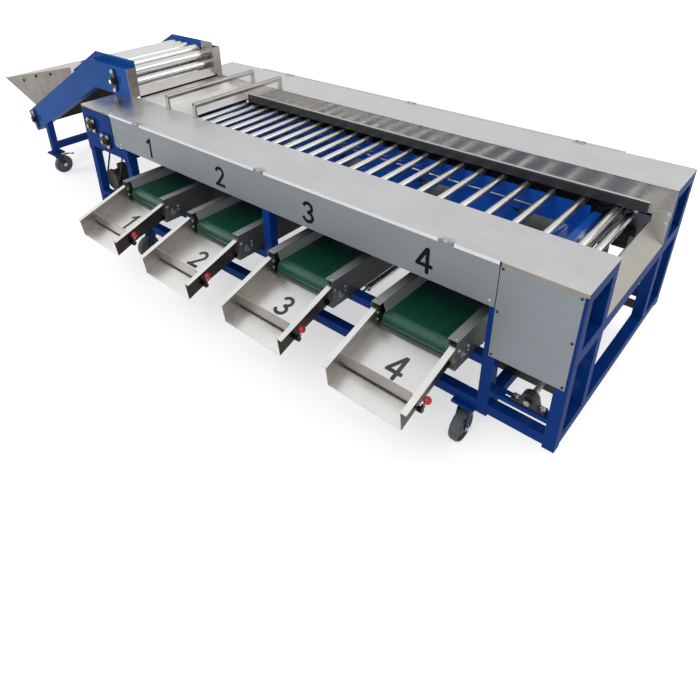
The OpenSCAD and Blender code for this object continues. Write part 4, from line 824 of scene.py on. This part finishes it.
FORK_OUT = 0.03
AXLE_NUT = (0.012, 0.01)
PEDAL_HALF = 0.014
STAND_CASTERS = (5, 6)
PEDAL = np.array([[0.0, 0.080], [0.060, 0.078], [0.098, 0.062], [0.106, 0.068], [0.104, 0.071],
                  [0.098, 0.066], [0.061, 0.082], [0.0, 0.084]])


def caster_trim():
    """An axle nut on each side of a caster, and a bent brake pedal over the stand's wheels."""
    for i in CASTERS:
        axle = joint_at(f"caster_wheel_{i}")
        nuts = [hex_bolt(axle + [side * FORK_OUT, 0, 0], (side, 0, 0), *AXLE_NUT) for side in (-1, 1)]
        piece(f"caster_nuts_{i}", join(nuts), BRIGHT, f"caster_fork_{i}")
    for i in STAND_CASTERS:
        axle = joint_at(f"caster_wheel_{i}")
        outline = PEDAL * [np.sign(-axle[1] + (FRONT_Y + REAR_Y) / 2), 1] + axle[1:]
        pedal = prism(outline, "x", axle[0] - PEDAL_HALF, axle[0] + PEDAL_HALF)
        piece(f"brake_pedal_{i}", pedal, FORK_BLUE, f"caster_fork_{i}")


# Stage, light and camera

WHITE_LEVEL = 1.0
AMBIENT = 0.5
FLOOR_GLOW, GLOW_FROM, GLOW_FULL = 0.5, 2.2, 4.5
FLOOR_HALF, FLOOR_DROP = 14.0, 0.0005
FLOOR_DIM, FLOOR_PALE = (0.86, 0.86, 0.86), (0.9, 0.9, 0.9)
CAMERA_AT = (3.1071, -2.2518, 2.1707)
CAMERA_YAW, CAMERA_PITCH, CAMERA_ROLL = (math.radians(a) for a in (42.89, 29.34, -1.74))
IMAGE_SIDE, FOCAL_PIXELS = 700, 611.8
MIDDLE_PIXEL = (317.1, 225.0)
SENSOR = 36.0
SIGHT = 60.0


def photo_camera():
    """The camera that was fitted to the photograph's edges."""
    forward = np.array([-math.cos(CAMERA_PITCH) * math.sin(CAMERA_YAW),
                        math.cos(CAMERA_PITCH) * math.cos(CAMERA_YAW), -math.sin(CAMERA_PITCH)])
    level = np.array([math.cos(CAMERA_YAW), math.sin(CAMERA_YAW), 0.0])
    above = np.cross(level, forward)
    right = math.cos(CAMERA_ROLL) * level + math.sin(CAMERA_ROLL) * above
    up = -math.sin(CAMERA_ROLL) * level + math.cos(CAMERA_ROLL) * above
    data = bpy.data.cameras.new("photo_camera")
    data.sensor_width = SENSOR
    data.lens = FOCAL_PIXELS / IMAGE_SIDE * SENSOR
    data.shift_x = 0.5 - MIDDLE_PIXEL[0] / IMAGE_SIDE
    data.shift_y = MIDDLE_PIXEL[1] / IMAGE_SIDE - 0.5
    data.clip_end = SIGHT
    camera = bpy.data.objects.new("photo_camera", data)
    turn = Matrix((right, up, -forward)).transposed().to_4x4()
    camera.matrix_world = Matrix.Translation(CAMERA_AT) @ turn
    bpy.context.scene.collection.objects.link(camera)
    bpy.context.scene.camera = camera


def white_rays(tree):
    """One for rays from the camera, mirrors and glass, and zero for the others."""
    path = tree.nodes.new("ShaderNodeLightPath")
    total = path.outputs["Is Camera Ray"]
    for name in ("Is Glossy Ray", "Is Transmission Ray"):
        total = sum_up(tree, "MAXIMUM", total, path.outputs[name])
    return total


def studio_world():
    """A white surround for the eye and for reflections, with a weaker ambient light."""
    world = bpy.data.worlds.new("studio")
    bpy.context.scene.world = world
    world.use_nodes = True
    tree = world.node_tree
    background = tree.nodes["Background"]
    background.inputs["Color"].default_value = (1, 1, 1, 1)
    strength = spread(tree, white_rays(tree), AMBIENT, WHITE_LEVEL, 0, 1)
    tree.links.new(strength, background.inputs["Strength"])


def studio_floor():
    """A pale floor that keeps the machine's shadow."""
    material, tree, shader = new_finish("studio floor")
    speck = noise(tree, coords(tree), 2.0)
    colour = blend_colours(tree, spread(tree, speck, 0, 1), FLOOR_DIM, FLOOR_PALE)
    tree.links.new(colour, shader.inputs["Base Color"])
    shader.inputs["Roughness"].default_value = 0.9
    shader.inputs["Specular IOR Level"].default_value = 0.1
    shader.inputs["Emission Color"].default_value = (1, 1, 1, 1)
    far = tree.nodes.new("ShaderNodeVectorMath")
    far.operation = "LENGTH"
    tree.links.new(coords(tree), far.inputs[0])
    glow = spread(tree, far.outputs["Value"], FLOOR_GLOW, WHITE_LEVEL, GLOW_FROM, GLOW_FULL)
    tree.links.new(sum_up(tree, "MULTIPLY", glow, white_rays(tree)), shader.inputs["Emission Strength"])
    corners = np.array([[-1, -1, 0], [1, -1, 0], [1, 1, 0], [-1, 1, 0]]) * FLOOR_HALF - [0, 0, FLOOR_DROP]
    mesh = bpy.data.meshes.new("studio_floor")
    mesh.from_pydata(corners.tolist(), [], [[0, 1, 2, 3]])
    mesh.materials.append(material)
    floor = bpy.data.objects.new("studio_floor", mesh)
    bpy.context.scene.collection.objects.link(floor)


LAMPS = {
    "key_lamp": ((2.5, -4.5, 4.5), 3.5, 110.0),
    "fill_lamp": ((-4.0, -3.5, 3.5), 3.5, 60.0),
    "back_lamp": ((5.0, 3.0, 3.6), 3.5, 50.0),
}
LAMP_AIM = np.array([0.2, 0.0, 0.6])


def studio_lamps():
    """Three broad soft lamps, each turned to the middle of the machine."""
    for name, (place, width, power) in LAMPS.items():
        data = bpy.data.lights.new(name, "AREA")
        data.size = width
        data.energy = power
        lamp = bpy.data.objects.new(name, data)
        away = np.array(place) - LAMP_AIM
        away /= np.linalg.norm(away)
        level = np.cross([0, 0, 1], away)
        level /= np.linalg.norm(level)
        turn = Matrix((level, np.cross(away, level), away)).transposed().to_4x4()
        lamp.matrix_world = Matrix.Translation(place) @ turn
        bpy.context.scene.collection.objects.link(lamp)


dress_nodes()
outlet_numbers()
gate_levers()
bearing_trim()
sheet_trim()
door_hems()
bed_trim()
hoist_trim()
outlet_trim()
caster_trim()
photo_camera()
studio_world()
studio_floor()
studio_lamps()
bpy.context.scene.view_settings.view_transform = "Standard"
